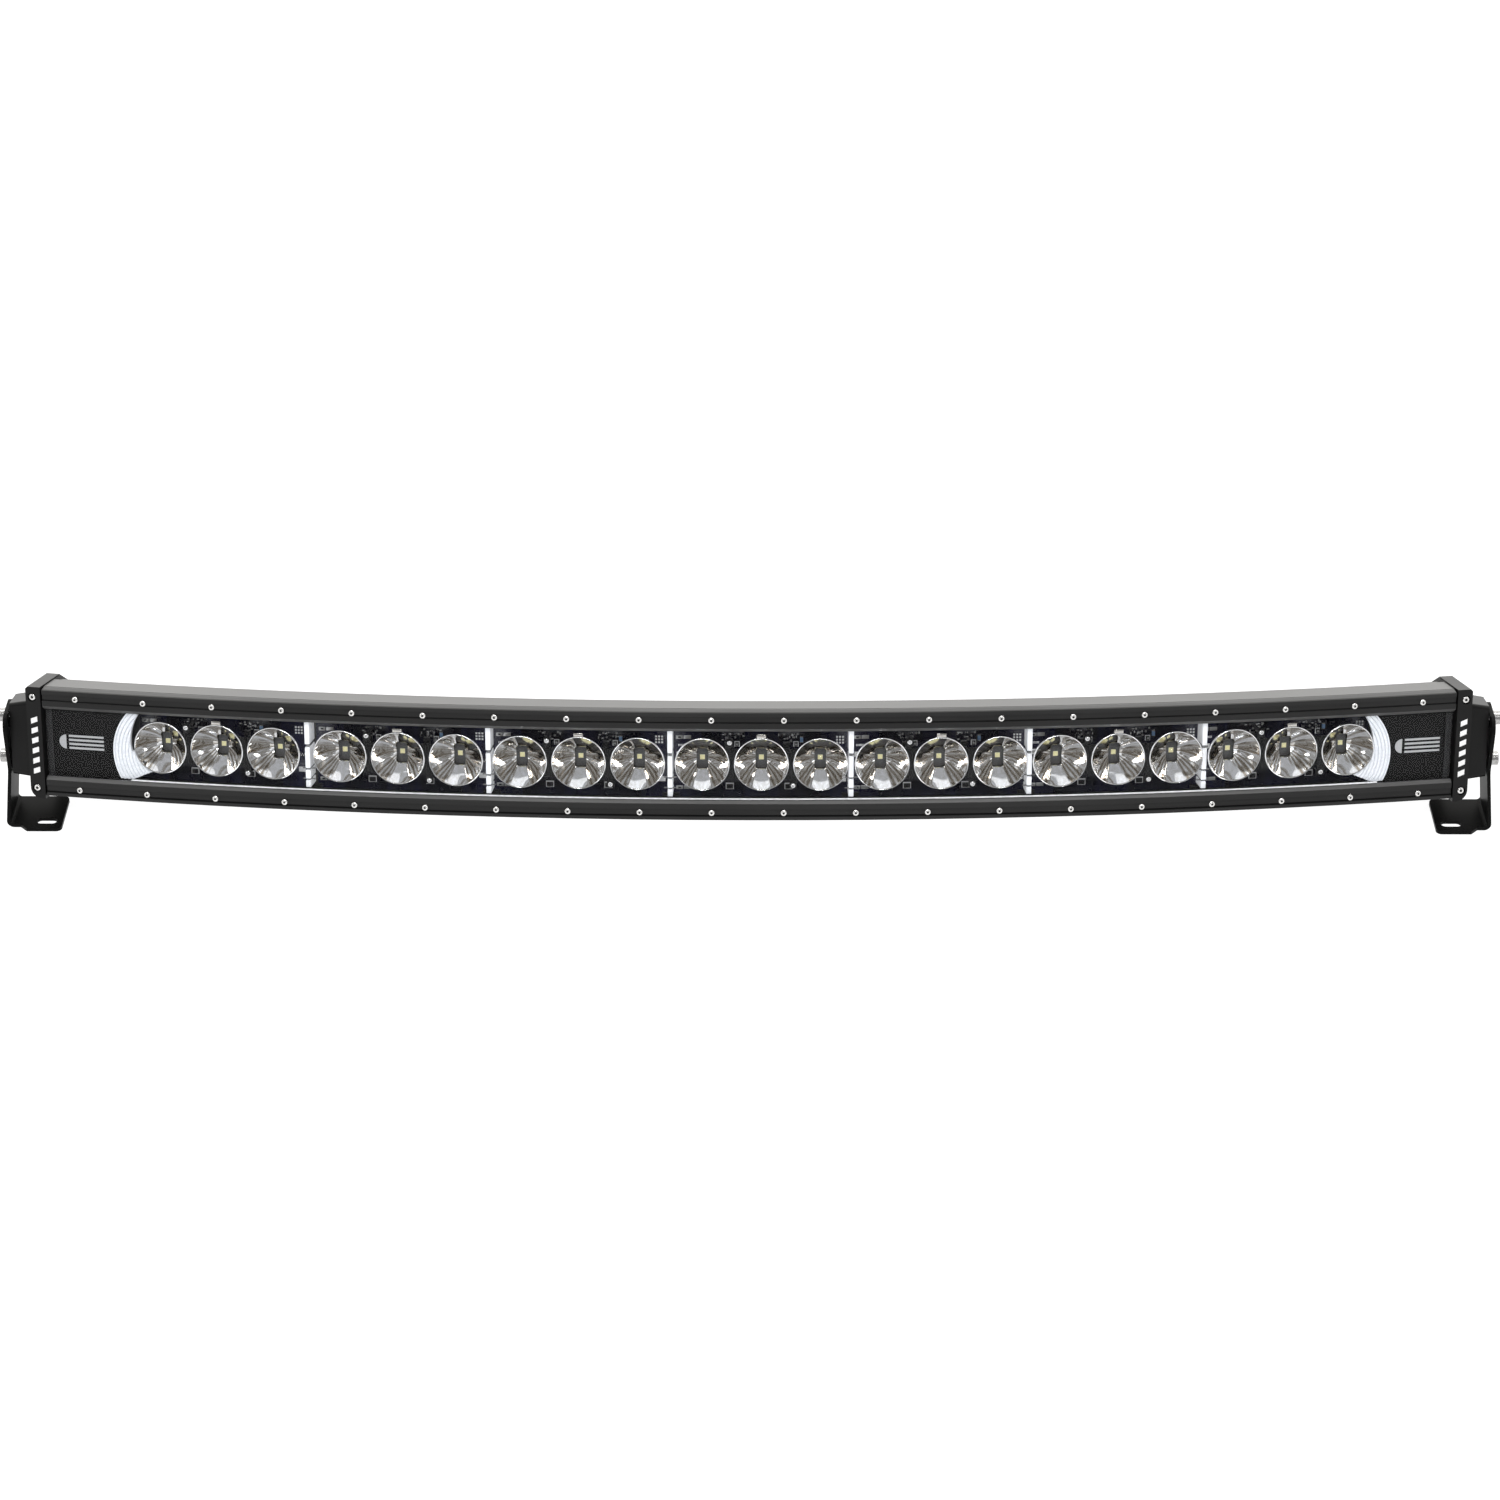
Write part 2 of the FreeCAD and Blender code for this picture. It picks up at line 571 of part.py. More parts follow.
# ---------------------------------------------------------------- ends, modelled at the +X end
CAP_HALF_HEIGHT = 41.0
CAP_TOP_DEPTH = 35.0
CAP_BACK = 60.0
CAP_BACK_HALF_HEIGHT = 27.0
CAP_CORNER = 8.0               # rounded lower outer corner
CAP_EASE = 1.5                 # eased upper outer corner
BEZEL_FRONT = -0.5
BEZEL_SCREW_ALONG = 7.0
BEZEL_SCREW_LENGTH = 8.0
BEZEL_SCREW_SEAT = 1.4
BEZEL_RECESS_RADIUS = 3.2
BOSS_HALF_HEIGHT = 26.0
BOSS_FRONT = 62.5
BOSS_BACK = 89.5
BOSS_FACE = ARM_FACE - SPACER
BOSS_ROOT = 498.0
BOSS_DRAFT = 3.6               # how much taller the boss is at its root, top and bottom


def end_outline(margin):
    """(depth, height) outline of an end cap, drawn in by a margin."""
    half = [(HOUSING_FRONT + margin, CAP_HALF_HEIGHT - margin), (CAP_TOP_DEPTH, CAP_HALF_HEIGHT - margin),
            (CAP_BACK - margin, CAP_BACK_HALF_HEIGHT - margin)]
    return half + [(d, -h) for d, h in reversed(half)]


def rounded_end(shape):
    """Round the lower outer corner and ease the upper one along the depth of an end piece."""
    def outer_edge(piece, height):
        return [e for e in piece.Edges
                if e.BoundBox.XLength < 0.01 and e.BoundBox.ZLength < 0.01
                and abs(e.BoundBox.XMax - CAP_THICKNESS) < 0.01 and abs(e.BoundBox.ZMax - height) < 0.01]

    shape = shape.makeFillet(CAP_CORNER, outer_edge(shape, -CAP_HALF_HEIGHT))
    return shape.makeChamfer(CAP_EASE, outer_edge(shape, CAP_HALF_HEIGHT))


def end_gasket():
    sheet = prism([(0, d, h) for d, h in end_outline(1.0)], (GASKET, 0, 0))
    return on_curve(sheet, HALF_ARC).cut(end_screw_rods(END_SCREW_RADIUS + HOLE_CLEARANCE, -1, 2))


def bezel_screw_rods(radius, start, end):
    return [rod(radius, (BEZEL_SCREW_ALONG, start, z), (BEZEL_SCREW_ALONG, end, z))
            for z in (SCREW_HEIGHT, -SCREW_HEIGHT)]


def end_bezel():
    """Front piece that covers the end of the rails, with two recessed screws."""
    block = box((GASKET, BEZEL_FRONT, -CAP_HALF_HEIGHT), (CAP_THICKNESS, HOUSING_FRONT, CAP_HALF_HEIGHT))
    block = rounded_end(block)
    block = block.cut(bezel_screw_rods(BEZEL_RECESS_RADIUS, BEZEL_FRONT - 1, BEZEL_SCREW_SEAT))
    block = block.cut(bezel_screw_rods(END_SCREW_RADIUS + HOLE_CLEARANCE, BEZEL_FRONT, HOUSING_FRONT + 1))
    return on_curve(block, HALF_ARC)


def bezel_screws():
    screw = button_screw(END_SCREW_RADIUS, BEZEL_SCREW_LENGTH, END_SCREW_HEAD, END_SCREW_HEAD_HEIGHT,
                         END_SCREW_KEY)
    placed = []
    for z in (SCREW_HEIGHT, -SCREW_HEIGHT):
        one = screw.copy()
        one.translate(Vector(BEZEL_SCREW_ALONG, BEZEL_SCREW_SEAT, z))
        one = on_curve(one, HALF_ARC)
        placed += [one, mirrored_x(one)]
    return group(placed)


def boss():
    """Tapered block whose flat outer face is square to the pivots."""
    def rectangle(x, grow):
        low_y, high_y = BOSS_FRONT - grow / 3, BOSS_BACK + grow / 3
        high = BOSS_HALF_HEIGHT + grow
        corners = [Vector(x, low_y, -high), Vector(x, high_y, -high), Vector(x, high_y, high),
                   Vector(x, low_y, high)]
        return Part.makePolygon(corners + corners[:1])

    block = Part.makeLoft([rectangle(BOSS_ROOT, BOSS_DRAFT), rectangle(BOSS_FACE, 0)], True, True)
    long_edges = [e for e in block.Edges if e.BoundBox.XLength > 1]
    return block.makeFillet(2.5, long_edges)


def bolt_axes():
    """(depth, height) of the pivot bolt and the adjusting bolt."""
    return [(TILT_PIVOT_DEPTH, TILT_PIVOT_HEIGHT), (TILT_PIVOT_DEPTH, TILT_PIVOT_HEIGHT + ADJUST_RADIUS)]


def end_cap():
    plate = rounded_end(prism([(GASKET, d, h) for d, h in end_outline(0)], (CAP_THICKNESS - GASKET, 0, 0)))
    bezel_hole_end = BEZEL_SCREW_SEAT + BEZEL_SCREW_LENGTH + 0.4
    plate = plate.cut(bezel_screw_rods(END_SCREW_RADIUS + HOLE_CLEARANCE, 0, bezel_hole_end))
    cap = on_curve(plate, HALF_ARC).fuse(boss())
    cap = cap.cut(end_screw_rods(END_SCREW_RADIUS + HOLE_CLEARANCE, -1, CAP_THICKNESS + 1))
    cap = cap.cut(end_screw_rods(BEZEL_RECESS_RADIUS, CAP_THICKNESS - END_SCREW_SINK, CAP_THICKNESS + 6))
    for depth, height in bolt_axes():
        cap = cap.cut(rod(BOLT_RADIUS + HOLE_CLEARANCE, (BOSS_FACE - 16.0, depth, height),
                          (BOSS_FACE + 1, depth, height)))
    return cap.removeSplitter()


def end_cap_screws():
    screw = button_screw(END_SCREW_RADIUS, END_SCREW_LENGTH, END_SCREW_HEAD, END_SCREW_HEAD_HEIGHT,
                         END_SCREW_KEY)
    screw.rotate(Vector(0, 0, 0), Z_AXIS, 90)
    placed = []
    for depth, height in end_screw_places():
        one = screw.copy()
        one.translate(Vector(CAP_THICKNESS - END_SCREW_SINK, depth, height))
        one = on_curve(one, HALF_ARC)
        placed += [one, mirrored_x(one)]
    return group(placed)


# ---------------------------------------------------------------- cable gland and vent
GLAND_BORE = 3.25
GLAND_HEX = 15.0
GLAND_NECK = 5.6
GLAND_FLANGE = 5.0
GLAND_BODY_END = PAD_DEPTH + 9.0
GLAND_NUT_START = PAD_DEPTH + GLAND_FLANGE + 0.5
GLAND_NUT_HEX_END = PAD_DEPTH + 12.0
GLAND_NUT_END = PAD_DEPTH + 16.0


def gland_body():
    thread = rod(GLAND_THREAD, (0, PAD_DEPTH - 6.0, 0), (0, PAD_DEPTH, 0))
    flange = hexagon_prism(GLAND_HEX, (0, PAD_DEPTH, 0), GLAND_FLANGE)
    neck = rod(GLAND_NECK, (0, PAD_DEPTH, 0), (0, GLAND_BODY_END, 0))
    bore = rod(GLAND_BORE, (0, PAD_DEPTH - 7, 0), (0, GLAND_BODY_END + 1, 0))
    return on_curve(thread.fuse([flange, neck]).cut(bore).removeSplitter(), GLAND_ARC)


def gland_nut():
    hexagon = hexagon_prism(GLAND_HEX, (0, GLAND_NUT_START, 0), GLAND_NUT_HEX_END - GLAND_NUT_START)
    dome = Part.makeCone(GLAND_HEX / 2 - 0.4, GLAND_BORE + 1.6, GLAND_NUT_END - GLAND_NUT_HEX_END,
                         Vector(0, GLAND_NUT_HEX_END, 0), Y_AXIS)
    inside = rod(GLAND_NECK + HOLE_CLEARANCE, (0, GLAND_NUT_START - 1, 0), (0, GLAND_NUT_HEX_END, 0))
    mouth = rod(GLAND_BORE + 0.4, (0, GLAND_NUT_HEX_END - 1, 0), (0, GLAND_NUT_END + 1, 0))
    return on_curve(hexagon.fuse(dome).cut([inside, mouth]).removeSplitter(), GLAND_ARC)


def gland_seal():
    ring = rod(GLAND_NECK - 0.1, (0, GLAND_BODY_END, 0), (0, GLAND_NUT_HEX_END, 0))
    bore = rod(GLAND_BORE, (0, GLAND_BODY_END - 1, 0), (0, GLAND_NUT_HEX_END + 1, 0))
    return on_curve(ring.cut(bore), GLAND_ARC)


def breather_vent():
    radius, height = 8.5, 5.5
    cap = rod(radius, (0, PAD_DEPTH, 0), (0, PAD_DEPTH + height, 0))
    rim = [e for e in cap.Edges if abs(e.BoundBox.YMin - PAD_DEPTH - height) < 1e-6]
    cap = cap.makeFillet(1.8, rim)
    for angle in (0, 90, 180, 270):
        slot = box((radius - 1.4, PAD_DEPTH + 1.0, -1.5), (radius + 1, PAD_DEPTH + 2.4, 1.5))
        slot.rotate(Vector(0, 0, 0), Y_AXIS, angle)
        cap = cap.cut(slot)
    thread = rod(VENT_THREAD, (0, PAD_DEPTH - 6.0, 0), (0, PAD_DEPTH + 1, 0))
    return on_curve(cap.fuse(thread).removeSplitter(), -GLAND_ARC)


# ---------------------------------------------------------------- bolts and washers at the pivots
def bracket_bolt(depth, height):
    """M6 cap screw from outside the +X arm into the end cap."""
    length = ARM_FACE + PLATE + WASHER - (BOSS_FACE - 15.0)
    bolt = socket_screw(BOLT_RADIUS, length, BOLT_HEAD_RADIUS, BOLT_HEAD, 5.0, 0.6)
    bolt.rotate(Vector(0, 0, 0), Z_AXIS, 90)
    bolt.translate(Vector(ARM_FACE + PLATE + WASHER, depth, height))
    return bolt


def washer(start, thickness, depth, height):
    ring = rod(WASHER_RADIUS, (start, depth, height), (start + thickness, depth, height))
    end = start + thickness + 1
    return ring.cut(rod(BOLT_RADIUS + HOLE_CLEARANCE, (start - 1, depth, height), (end, depth, height)))


def both_ends(shape):
    return [shape, mirrored_x(shape)]


def washers(start, thickness):
    return group([piece for axis in bolt_axes() for piece in both_ends(washer(start, thickness, *axis))])


# ---------------------------------------------------------------- brackets, in the row frame
ARM_FRONT = -15.0              # arm outline, measured from the pivot: towards the lamps is negative
ARM_BACK = 19.5
ARM_TOP = 39.0
ARM_KINK = -2.5                # height where the arm starts to lean forward to its foot
FOOT_NARROW_FRONT = -38.0
FOOT_WIDE_FRONT = -43.1
FOOT_BACK = -2.6
STEP_START = 510.5             # the foot steps forward inside this distance
TRAVEL_MARGIN = 0.8            # degrees of slot beyond the travel


def parallel_to_x(shape, y, z):
    """Edges along X at one place in the side view."""
    return [e for e in shape.Edges
            if e.BoundBox.XLength > 1 and e.BoundBox.YLength < 0.01 and e.BoundBox.ZLength < 0.01
            and abs(e.BoundBox.YMin - y) < 0.01 and abs(e.BoundBox.ZMin - z) < 0.01]


def arm_plate():
    """Upright of the +X bracket: a broad head for the bolts on a stem that leans forward."""
    bend_top = PLATE + BEND_RADIUS
    corners = [(FOOT_NARROW_FRONT, bend_top), (ARM_FRONT, PIVOT_Z + ARM_KINK), (ARM_FRONT, PIVOT_Z + ARM_TOP),
               (ARM_BACK, PIVOT_Z + ARM_TOP), (ARM_BACK, PIVOT_Z + ARM_KINK), (FOOT_BACK, bend_top)]
    plate = prism([(ARM_FACE, PIVOT_Y + y, z) for y, z in corners], (PLATE, 0, 0))
    for (y, z), radius in zip(corners[1:5], (8.0, 10.0, 9.0, 8.0)):
        plate = plate.makeFillet(radius, parallel_to_x(plate, PIVOT_Y + y, z))
    return plate


def adjusting_slot():
    """Arc slot about the pivot for the adjusting bolt."""
    half = BOLT_RADIUS + 0.35
    start, end = ARM_FACE - 1, ARM_FACE + PLATE + 1
    pivot = Vector(0, PIVOT_Y, PIVOT_Z)
    middle = PIVOT_Z + ADJUST_RADIUS
    low, high = middle - half, middle + half
    face = Part.Face(Part.makePolygon([Vector(start, PIVOT_Y, low), Vector(end, PIVOT_Y, low),
                                       Vector(end, PIVOT_Y, high), Vector(start, PIVOT_Y, high),
                                       Vector(start, PIVOT_Y, low)]))
    first = -(REST_TILT + TILT_UP + TRAVEL_MARGIN)
    last = TILT_DOWN - REST_TILT + TRAVEL_MARGIN
    face.rotate(pivot, X_AXIS, first)
    slot = face.revolve(pivot, X_AXIS, last - first)
    ends = []
    for angle in (first, last):
        end_round = rod(half, (start, PIVOT_Y, middle), (end, PIVOT_Y, middle))
        end_round.rotate(pivot, X_AXIS, angle)
        ends.append(end_round)
    return slot.fuse(ends)


def bend():
    """Quarter round between the arm and the foot."""
    outside = BEND_RADIUS + PLATE
    centre_x = ARM_FACE - BEND_RADIUS
    y_from, y_to = PIVOT_Y + FOOT_NARROW_FRONT, PIVOT_Y + FOOT_BACK
    full = rod(outside, (centre_x, y_from, outside), (centre_x, y_to, outside))
    hollow = rod(BEND_RADIUS, (centre_x, y_from - 1, outside), (centre_x, y_to + 1, outside))
    corner = box((centre_x, y_from, 0), (centre_x + outside, y_to, outside))
    return full.common(corner).cut(hollow)


def foot_plate():
    """Foot with one slot across the bar's length, stepped forward towards the middle."""
    front, wide, back = (PIVOT_Y + y for y in (FOOT_NARROW_FRONT, FOOT_WIDE_FRONT, FOOT_BACK))
    end = ARM_FACE - BEND_RADIUS
    plate = prism([(end, back, 0), (FOOT_REACH, back, 0), (FOOT_REACH, wide, 0), (STEP_START, wide, 0),
                   (STEP_START + front - wide, front, 0), (end, front, 0)], (0, 0, PLATE))
    inner_corners = [e for e in plate.Edges
                     if e.BoundBox.ZLength > 1 and abs(e.BoundBox.XMin - FOOT_REACH) < 0.01]
    plate = plate.makeFillet(4.0, inner_corners)
    half = SLOT_LENGTH / 2 - SLOT_RADIUS
    slot = box((SLOT_X - half, -SLOT_RADIUS, -1), (SLOT_X + half, SLOT_RADIUS, PLATE + 1))
    for x in (SLOT_X - half, SLOT_X + half):
        slot = slot.fuse(rod(SLOT_RADIUS, (x, 0, -1), (x, 0, PLATE + 1)))
    return plate.cut(slot)


def bracket():
    hole = rod(BOLT_RADIUS + RUNNING_CLEARANCE, (ARM_FACE - 1, PIVOT_Y, PIVOT_Z),
               (ARM_FACE + PLATE + 1, PIVOT_Y, PIVOT_Z))
    arm = arm_plate().cut([hole, adjusting_slot()])
    return arm.fuse([bend(), foot_plate()]).removeSplitter()


# ---------------------------------------------------------------- assembly
def bar_nodes():
    """Every piece that tilts with the bar, in the bar's own frame."""
    pivot_axis, adjust_axis = bolt_axes()
    rail, right_bezel, right_cap, right_gasket = upper_rail(), end_bezel(), end_cap(), end_gasket()
    nodes = {
        "housing": housing(),
        "upper_rail": rail,
        "lower_rail": mirrored_z(rail),
        "upper_rail_screws": rail_screws(SCREW_HEIGHT),
        "lower_rail_screws": rail_screws(-SCREW_HEIGHT),
        "lens": lens(),
        "lens_gasket": lens_gasket(),
        "led_emitters": led_emitters(),
        "driver_components": driver_components(),
        "board_links": board_links(),
        "module_pins": module_pins(),
        "divider_bars": divider_bars(),
        "end_mask_left": end_mask(-1),
        "end_mask_right": end_mask(1),
        "end_crescent_left": end_crescent(-1),
        "end_crescent_right": end_crescent(1),
        "end_bezel_left": mirrored_x(right_bezel),
        "end_bezel_right": right_bezel,
        "end_bezel_screws": bezel_screws(),
        "end_gasket_left": mirrored_x(right_gasket),
        "end_gasket_right": right_gasket,
        "end_cap_left": mirrored_x(right_cap),
        "end_cap_right": right_cap,
        "end_cap_screws": end_cap_screws(),
        "gland_body": gland_body(),
        "gland_nut": gland_nut(),
        "gland_seal": gland_seal(),
        "breather_vent": breather_vent(),
        "pivot_bolts": group(both_ends(bracket_bolt(*pivot_axis))),
        "adjusting_bolts": group(both_ends(bracket_bolt(*adjust_axis))),
        "bolt_washers": washers(ARM_FACE + PLATE, WASHER),
        "spacer_washers": washers(BOSS_FACE, SPACER),
    }
    board, reflectors = led_board(), reflector_module()
    for number, arc in enumerate(MODULE_PLACES, start=1):
        nodes[f"led_board_{number}"] = on_curve(board, arc)
        nodes[f"reflector_module_{number}"] = on_curve(reflectors, arc)
    return nodes


def main():
    os.makedirs("parts", exist_ok=True)
    nodes = {name: seat_on_pivots(shape) for name, shape in bar_nodes().items()}
    nodes["bracket_right"] = bracket()
    nodes["bracket_left"] = mirrored_x(nodes["bracket_right"])
    for name, shape in nodes.items():
        shape.exportStep(f"parts/{name}.step")
        volume = shape.Volume / 1000
        print(f"{name:22s} solids {len(shape.Solids):3d}  volume {volume:9.3f} cm3  valid {shape.isValid()}")


main()
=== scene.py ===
import json
import math
import random

import bmesh
import bpy
from mathutils import Matrix, Vector


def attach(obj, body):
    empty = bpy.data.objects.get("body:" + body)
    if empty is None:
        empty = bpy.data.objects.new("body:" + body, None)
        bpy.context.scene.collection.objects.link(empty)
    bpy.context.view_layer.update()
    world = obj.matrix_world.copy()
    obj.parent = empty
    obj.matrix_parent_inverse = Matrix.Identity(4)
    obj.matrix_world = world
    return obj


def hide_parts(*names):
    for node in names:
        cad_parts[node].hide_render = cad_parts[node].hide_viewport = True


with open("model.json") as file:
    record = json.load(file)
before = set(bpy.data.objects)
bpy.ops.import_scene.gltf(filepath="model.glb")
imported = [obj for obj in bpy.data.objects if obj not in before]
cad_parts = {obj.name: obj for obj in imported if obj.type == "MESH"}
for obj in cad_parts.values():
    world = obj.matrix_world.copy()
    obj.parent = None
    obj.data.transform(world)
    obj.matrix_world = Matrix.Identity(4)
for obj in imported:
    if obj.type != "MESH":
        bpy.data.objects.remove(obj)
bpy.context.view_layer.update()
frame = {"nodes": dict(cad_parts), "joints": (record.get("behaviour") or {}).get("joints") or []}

NODES = frame["nodes"]
BAR = "light_bar"
PIVOT = Vector(frame["joints"][0]["pos_m"])

# ---------------------------------------------------------------- the bar's own frame, mm
MM = 0.001
CURVE_RADIUS = 2363.5
REST_TILT = math.radians(16.4)
PIVOT_DEPTH, PIVOT_HEIGHT = 76.0, -16.0
MODULE_PLACES = (-374.5, -244.6, -117.6, 9.5, 134.5, 258.6, 382.4)
CUP_PITCH = 41.0
RIM = 18.2
WALL = 0.9
RIM_DEPTH = 6.2
BOWL_BASE = 4.0
BOWL_DEPTH = 22.0
BOARD = 24.0
SLOT_HALF_WIDTH, SLOT_HALF_HEIGHT, SLOT_CORNER = 4.0, 7.5, 2.0
FOOT_RADIUS = 9.4
FACETS = 8
WEB_HALF_HEIGHT = 10.8
WINDOW_HALF_HEIGHT = 24.4
SCREW_HEIGHT = 33.4
SCREW_PITCH = 50.0
SCREWS_PER_RAIL = 20
PANEL_PLACE = 475.0            # middle of each blank panel, along the bar
BEZEL_PLACE = 500.0            # middle of each end bezel
WELD_GAP = 0.002

BAR_TO_ROW = (Matrix.Translation(PIVOT) @ Matrix.Rotation(-REST_TILT, 4, "X")
              @ Matrix.Translation((0, -PIVOT_DEPTH * MM, -PIVOT_HEIGHT * MM)))
JOINT_PLACES = [(a + b) / 2 for a, b in zip(MODULE_PLACES, MODULE_PLACES[1:])]
CUP_OFFSETS = [-CUP_PITCH, 0.0, CUP_PITCH]


def at(arc):
    """Matrix from millimetres at the middle of the bar to the row frame at a distance along the curve."""
    centre = Vector((0, CURVE_RADIUS * MM, 0))
    return (BAR_TO_ROW @ Matrix.Translation(centre) @ Matrix.Rotation(arc / CURVE_RADIUS, 4, "Z")
            @ Matrix.Translation(-centre) @ Matrix.Scale(MM, 4))


# ---------------------------------------------------------------- shapes
class Shape:
    """Vertices and faces gathered in millimetres, then turned into one piece."""

    def __init__(self):
        self.verts = []
        self.faces = []

    def add(self, verts, faces, matrix=Matrix.Identity(4)):
        start = len(self.verts)
        self.verts += [matrix @ Vector(v) for v in verts]
        self.faces += [[start + i for i in face] for face in faces]

    def add_mesh(self, bm, matrix=Matrix.Identity(4)):
        bm.verts.index_update()
        self.add([v.co for v in bm.verts], [[v.index for v in f.verts] for f in bm.faces], matrix)
        bm.free()

    def piece(self, name, material, body=BAR, slot=None, sharp=30.0, replaces=(), weld=False):
        mesh = bpy.data.meshes.new(name)
        mesh.from_pydata([tuple(v) for v in self.verts], [], self.faces)
        mesh.validate()
        bm = bmesh.new()
        bm.from_mesh(mesh)
        if weld:
            bmesh.ops.remove_doubles(bm, verts=bm.verts[:], dist=WELD_GAP * MM)
            bmesh.ops.dissolve_degenerate(bm, edges=bm.edges[:], dist=WELD_GAP * MM)
        bmesh.ops.recalc_face_normals(bm, faces=bm.faces[:])
        bm.to_mesh(mesh)
        bm.free()
        mesh.materials.append(material)
        mesh.shade_smooth()
        mesh.set_sharp_from_angle(angle=math.radians(sharp))
        obj = bpy.data.objects.new(name, mesh)
        bpy.context.scene.collection.objects.link(obj)
        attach(obj, body)
        if replaces:
            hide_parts(*replaces)
        return obj


def rounded_box(low, high, bevel, segments=2):
    """Box between two corners with every edge rounded."""
    bm = bmesh.new()
    bmesh.ops.create_cube(bm, size=1.0)
    size = [h - l for l, h in zip(low, high)]
    middle = [(h + l) / 2 for l, h in zip(low, high)]
    for v in bm.verts:
        v.co = Vector([m + c * s for m, c, s in zip(middle, v.co, size)])
    bmesh.ops.bevel(bm, geom=bm.edges[:], offset=min(bevel, min(size) * 0.4), segments=segments,
                    profile=0.5, affect="EDGES", clamp_overlap=True)
    return bm


def turned(profile, axis_x, axis_z, sides):
    """Solid turned about the depth axis from (radius, depth) points; the ends close on the axis."""
    verts, faces = [], []
    rings = []
    for radius, depth in profile:
        if radius < 1e-6:
            rings.append([len(verts)])
            verts.append((axis_x, depth, axis_z))
        else:
            rings.append(list(range(len(verts), len(verts) + sides)))
            for k in range(sides):
                angle = 2 * math.pi * k / sides
                verts.append((axis_x + radius * math.cos(angle), depth, axis_z + radius * math.sin(angle)))
    for a, b in zip(rings, rings[1:]):
        for k in range(sides):
            n = (k + 1) % sides
            if len(a) == 1 and len(b) > 1:
                faces.append([a[0], b[n], b[k]])
            elif len(b) == 1 and len(a) > 1:
                faces.append([a[k], a[n], b[0]])
            else:
                faces.append([a[k], a[n], b[n], b[k]])
    return verts, faces


def prism(outline, depth_from, depth_to):
    """Closed solid from an (along, height) outline between two depths."""
    n = len(outline)
    verts = [(x, depth_from, z) for x, z in outline] + [(x, depth_to, z) for x, z in outline]
    faces = [list(range(n)), list(range(2 * n - 1, n - 1, -1))]
    faces += [[k, n + k, n + (k + 1) % n, (k + 1) % n] for k in range(n)]
    return verts, faces


# ---------------------------------------------------------------- materials
# bump distances, metres
FINE = 0.00002
GRAIN = 0.00003
PORES = 0.00004
PEEL = 0.00005
WAVES = 0.00006


class Look:
    """A procedural material: helpers that add and join its nodes."""

    def __init__(self, name):
        self.material = bpy.data.materials.new(name)
        self.material.use_nodes = True
        self.nodes = self.material.node_tree.nodes
        self.links = self.material.node_tree.links
        self.shader = self.nodes["Principled BSDF"]
        self.output = self.nodes["Material Output"]
        self.position = self.nodes.new("ShaderNodeTexCoord").outputs["Object"]

    def set(self, **values):
        for key, value in values.items():
            self.shader.inputs[key.replace("_", " ")].default_value = value

    def node(self, kind, **inputs):
        node = self.nodes.new("ShaderNode" + kind)
        for key, value in inputs.items():
            self.feed(node.inputs[key.replace("_", " ")], value)
        return node

    def feed(self, socket, value):
        if isinstance(value, bpy.types.NodeSocket):
            self.links.new(value, socket)
        else:
            socket.default_value = value

    def math(self, operation, a, b=0.0):
        node = self.nodes.new("ShaderNodeMath")
        node.operation = operation
        self.feed(node.inputs[0], a)
        self.feed(node.inputs[1], b)
        return node.outputs[0]

    def bar_place(self):
        """Vector of distance along the curve, depth and height, in metres."""
        turn = self.node("VectorRotate")
        turn.rotation_type = "X_AXIS"
        self.feed(turn.inputs["Vector"], self.position)
        turn.inputs["Center"].default_value = PIVOT
        turn.inputs["Angle"].default_value = REST_TILT
        parts = self.node("SeparateXYZ", Vector=turn.outputs[0])
        radius = CURVE_RADIUS * MM
        back = radius + PIVOT.y - PIVOT_DEPTH * MM
        behind = self.math("SUBTRACT", back, parts.outputs["Y"])
        angle = self.math("ARCTAN2", parts.outputs["X"], behind)
        reach = self.math("SQRT", self.math("ADD", self.math("POWER", parts.outputs["X"], 2.0),
                                            self.math("POWER", behind, 2.0)))
        height = self.math("SUBTRACT", parts.outputs["Z"], PIVOT.z - PIVOT_HEIGHT * MM)
        join = self.node("CombineXYZ", X=self.math("MULTIPLY", angle, radius),
                         Y=self.math("SUBTRACT", radius, reach), Z=height)
        return join.outputs[0]

    def stretched(self, vector, scale):
        node = self.node("VectorMath")
        node.operation = "MULTIPLY"
        self.feed(node.inputs[0], vector)
        node.inputs[1].default_value = scale
        return node.outputs[0]

    def noise(self, scale, detail=2.0, vector=None):
        node = self.node("TexNoise", Scale=scale, Detail=detail)
        self.feed(node.inputs["Vector"], vector or self.position)
        return node.outputs["Fac"]

    def blend(self, factor, low, high):
        """Colour between low and high, spread over the middle of a noise's values."""
        node = self.nodes.new("ShaderNodeValToRGB")
        self.feed(node.inputs[0], factor)
        node.color_ramp.elements[0].position = 0.3
        node.color_ramp.elements[1].position = 0.7
        node.color_ramp.elements[0].color = (*low, 1)
        node.color_ramp.elements[1].color = (*high, 1)
        return node.outputs["Color"]

    def range(self, factor, low, high):
        node = self.node("MapRange", Value=factor)
        node.inputs["To Min"].default_value = low
        node.inputs["To Max"].default_value = high
        return node.outputs["Result"]

    def bump(self, height, strength, distance, below=None):
        node = self.node("Bump", Height=height)
        node.inputs["Strength"].default_value = strength
        node.inputs["Distance"].default_value = distance
        if below is not None:
            self.feed(node.inputs["Normal"], below)
        return node.outputs["Normal"]

    def finish(self, color, roughness, normal):
        self.feed(self.shader.inputs["Base Color"], color)
        self.feed(self.shader.inputs["Roughness"], roughness)
        self.feed(self.shader.inputs["Normal"], normal)
        return self.material


def grey(value, tint=(1, 1, 1)):
    return tuple(value * t for t in tint)


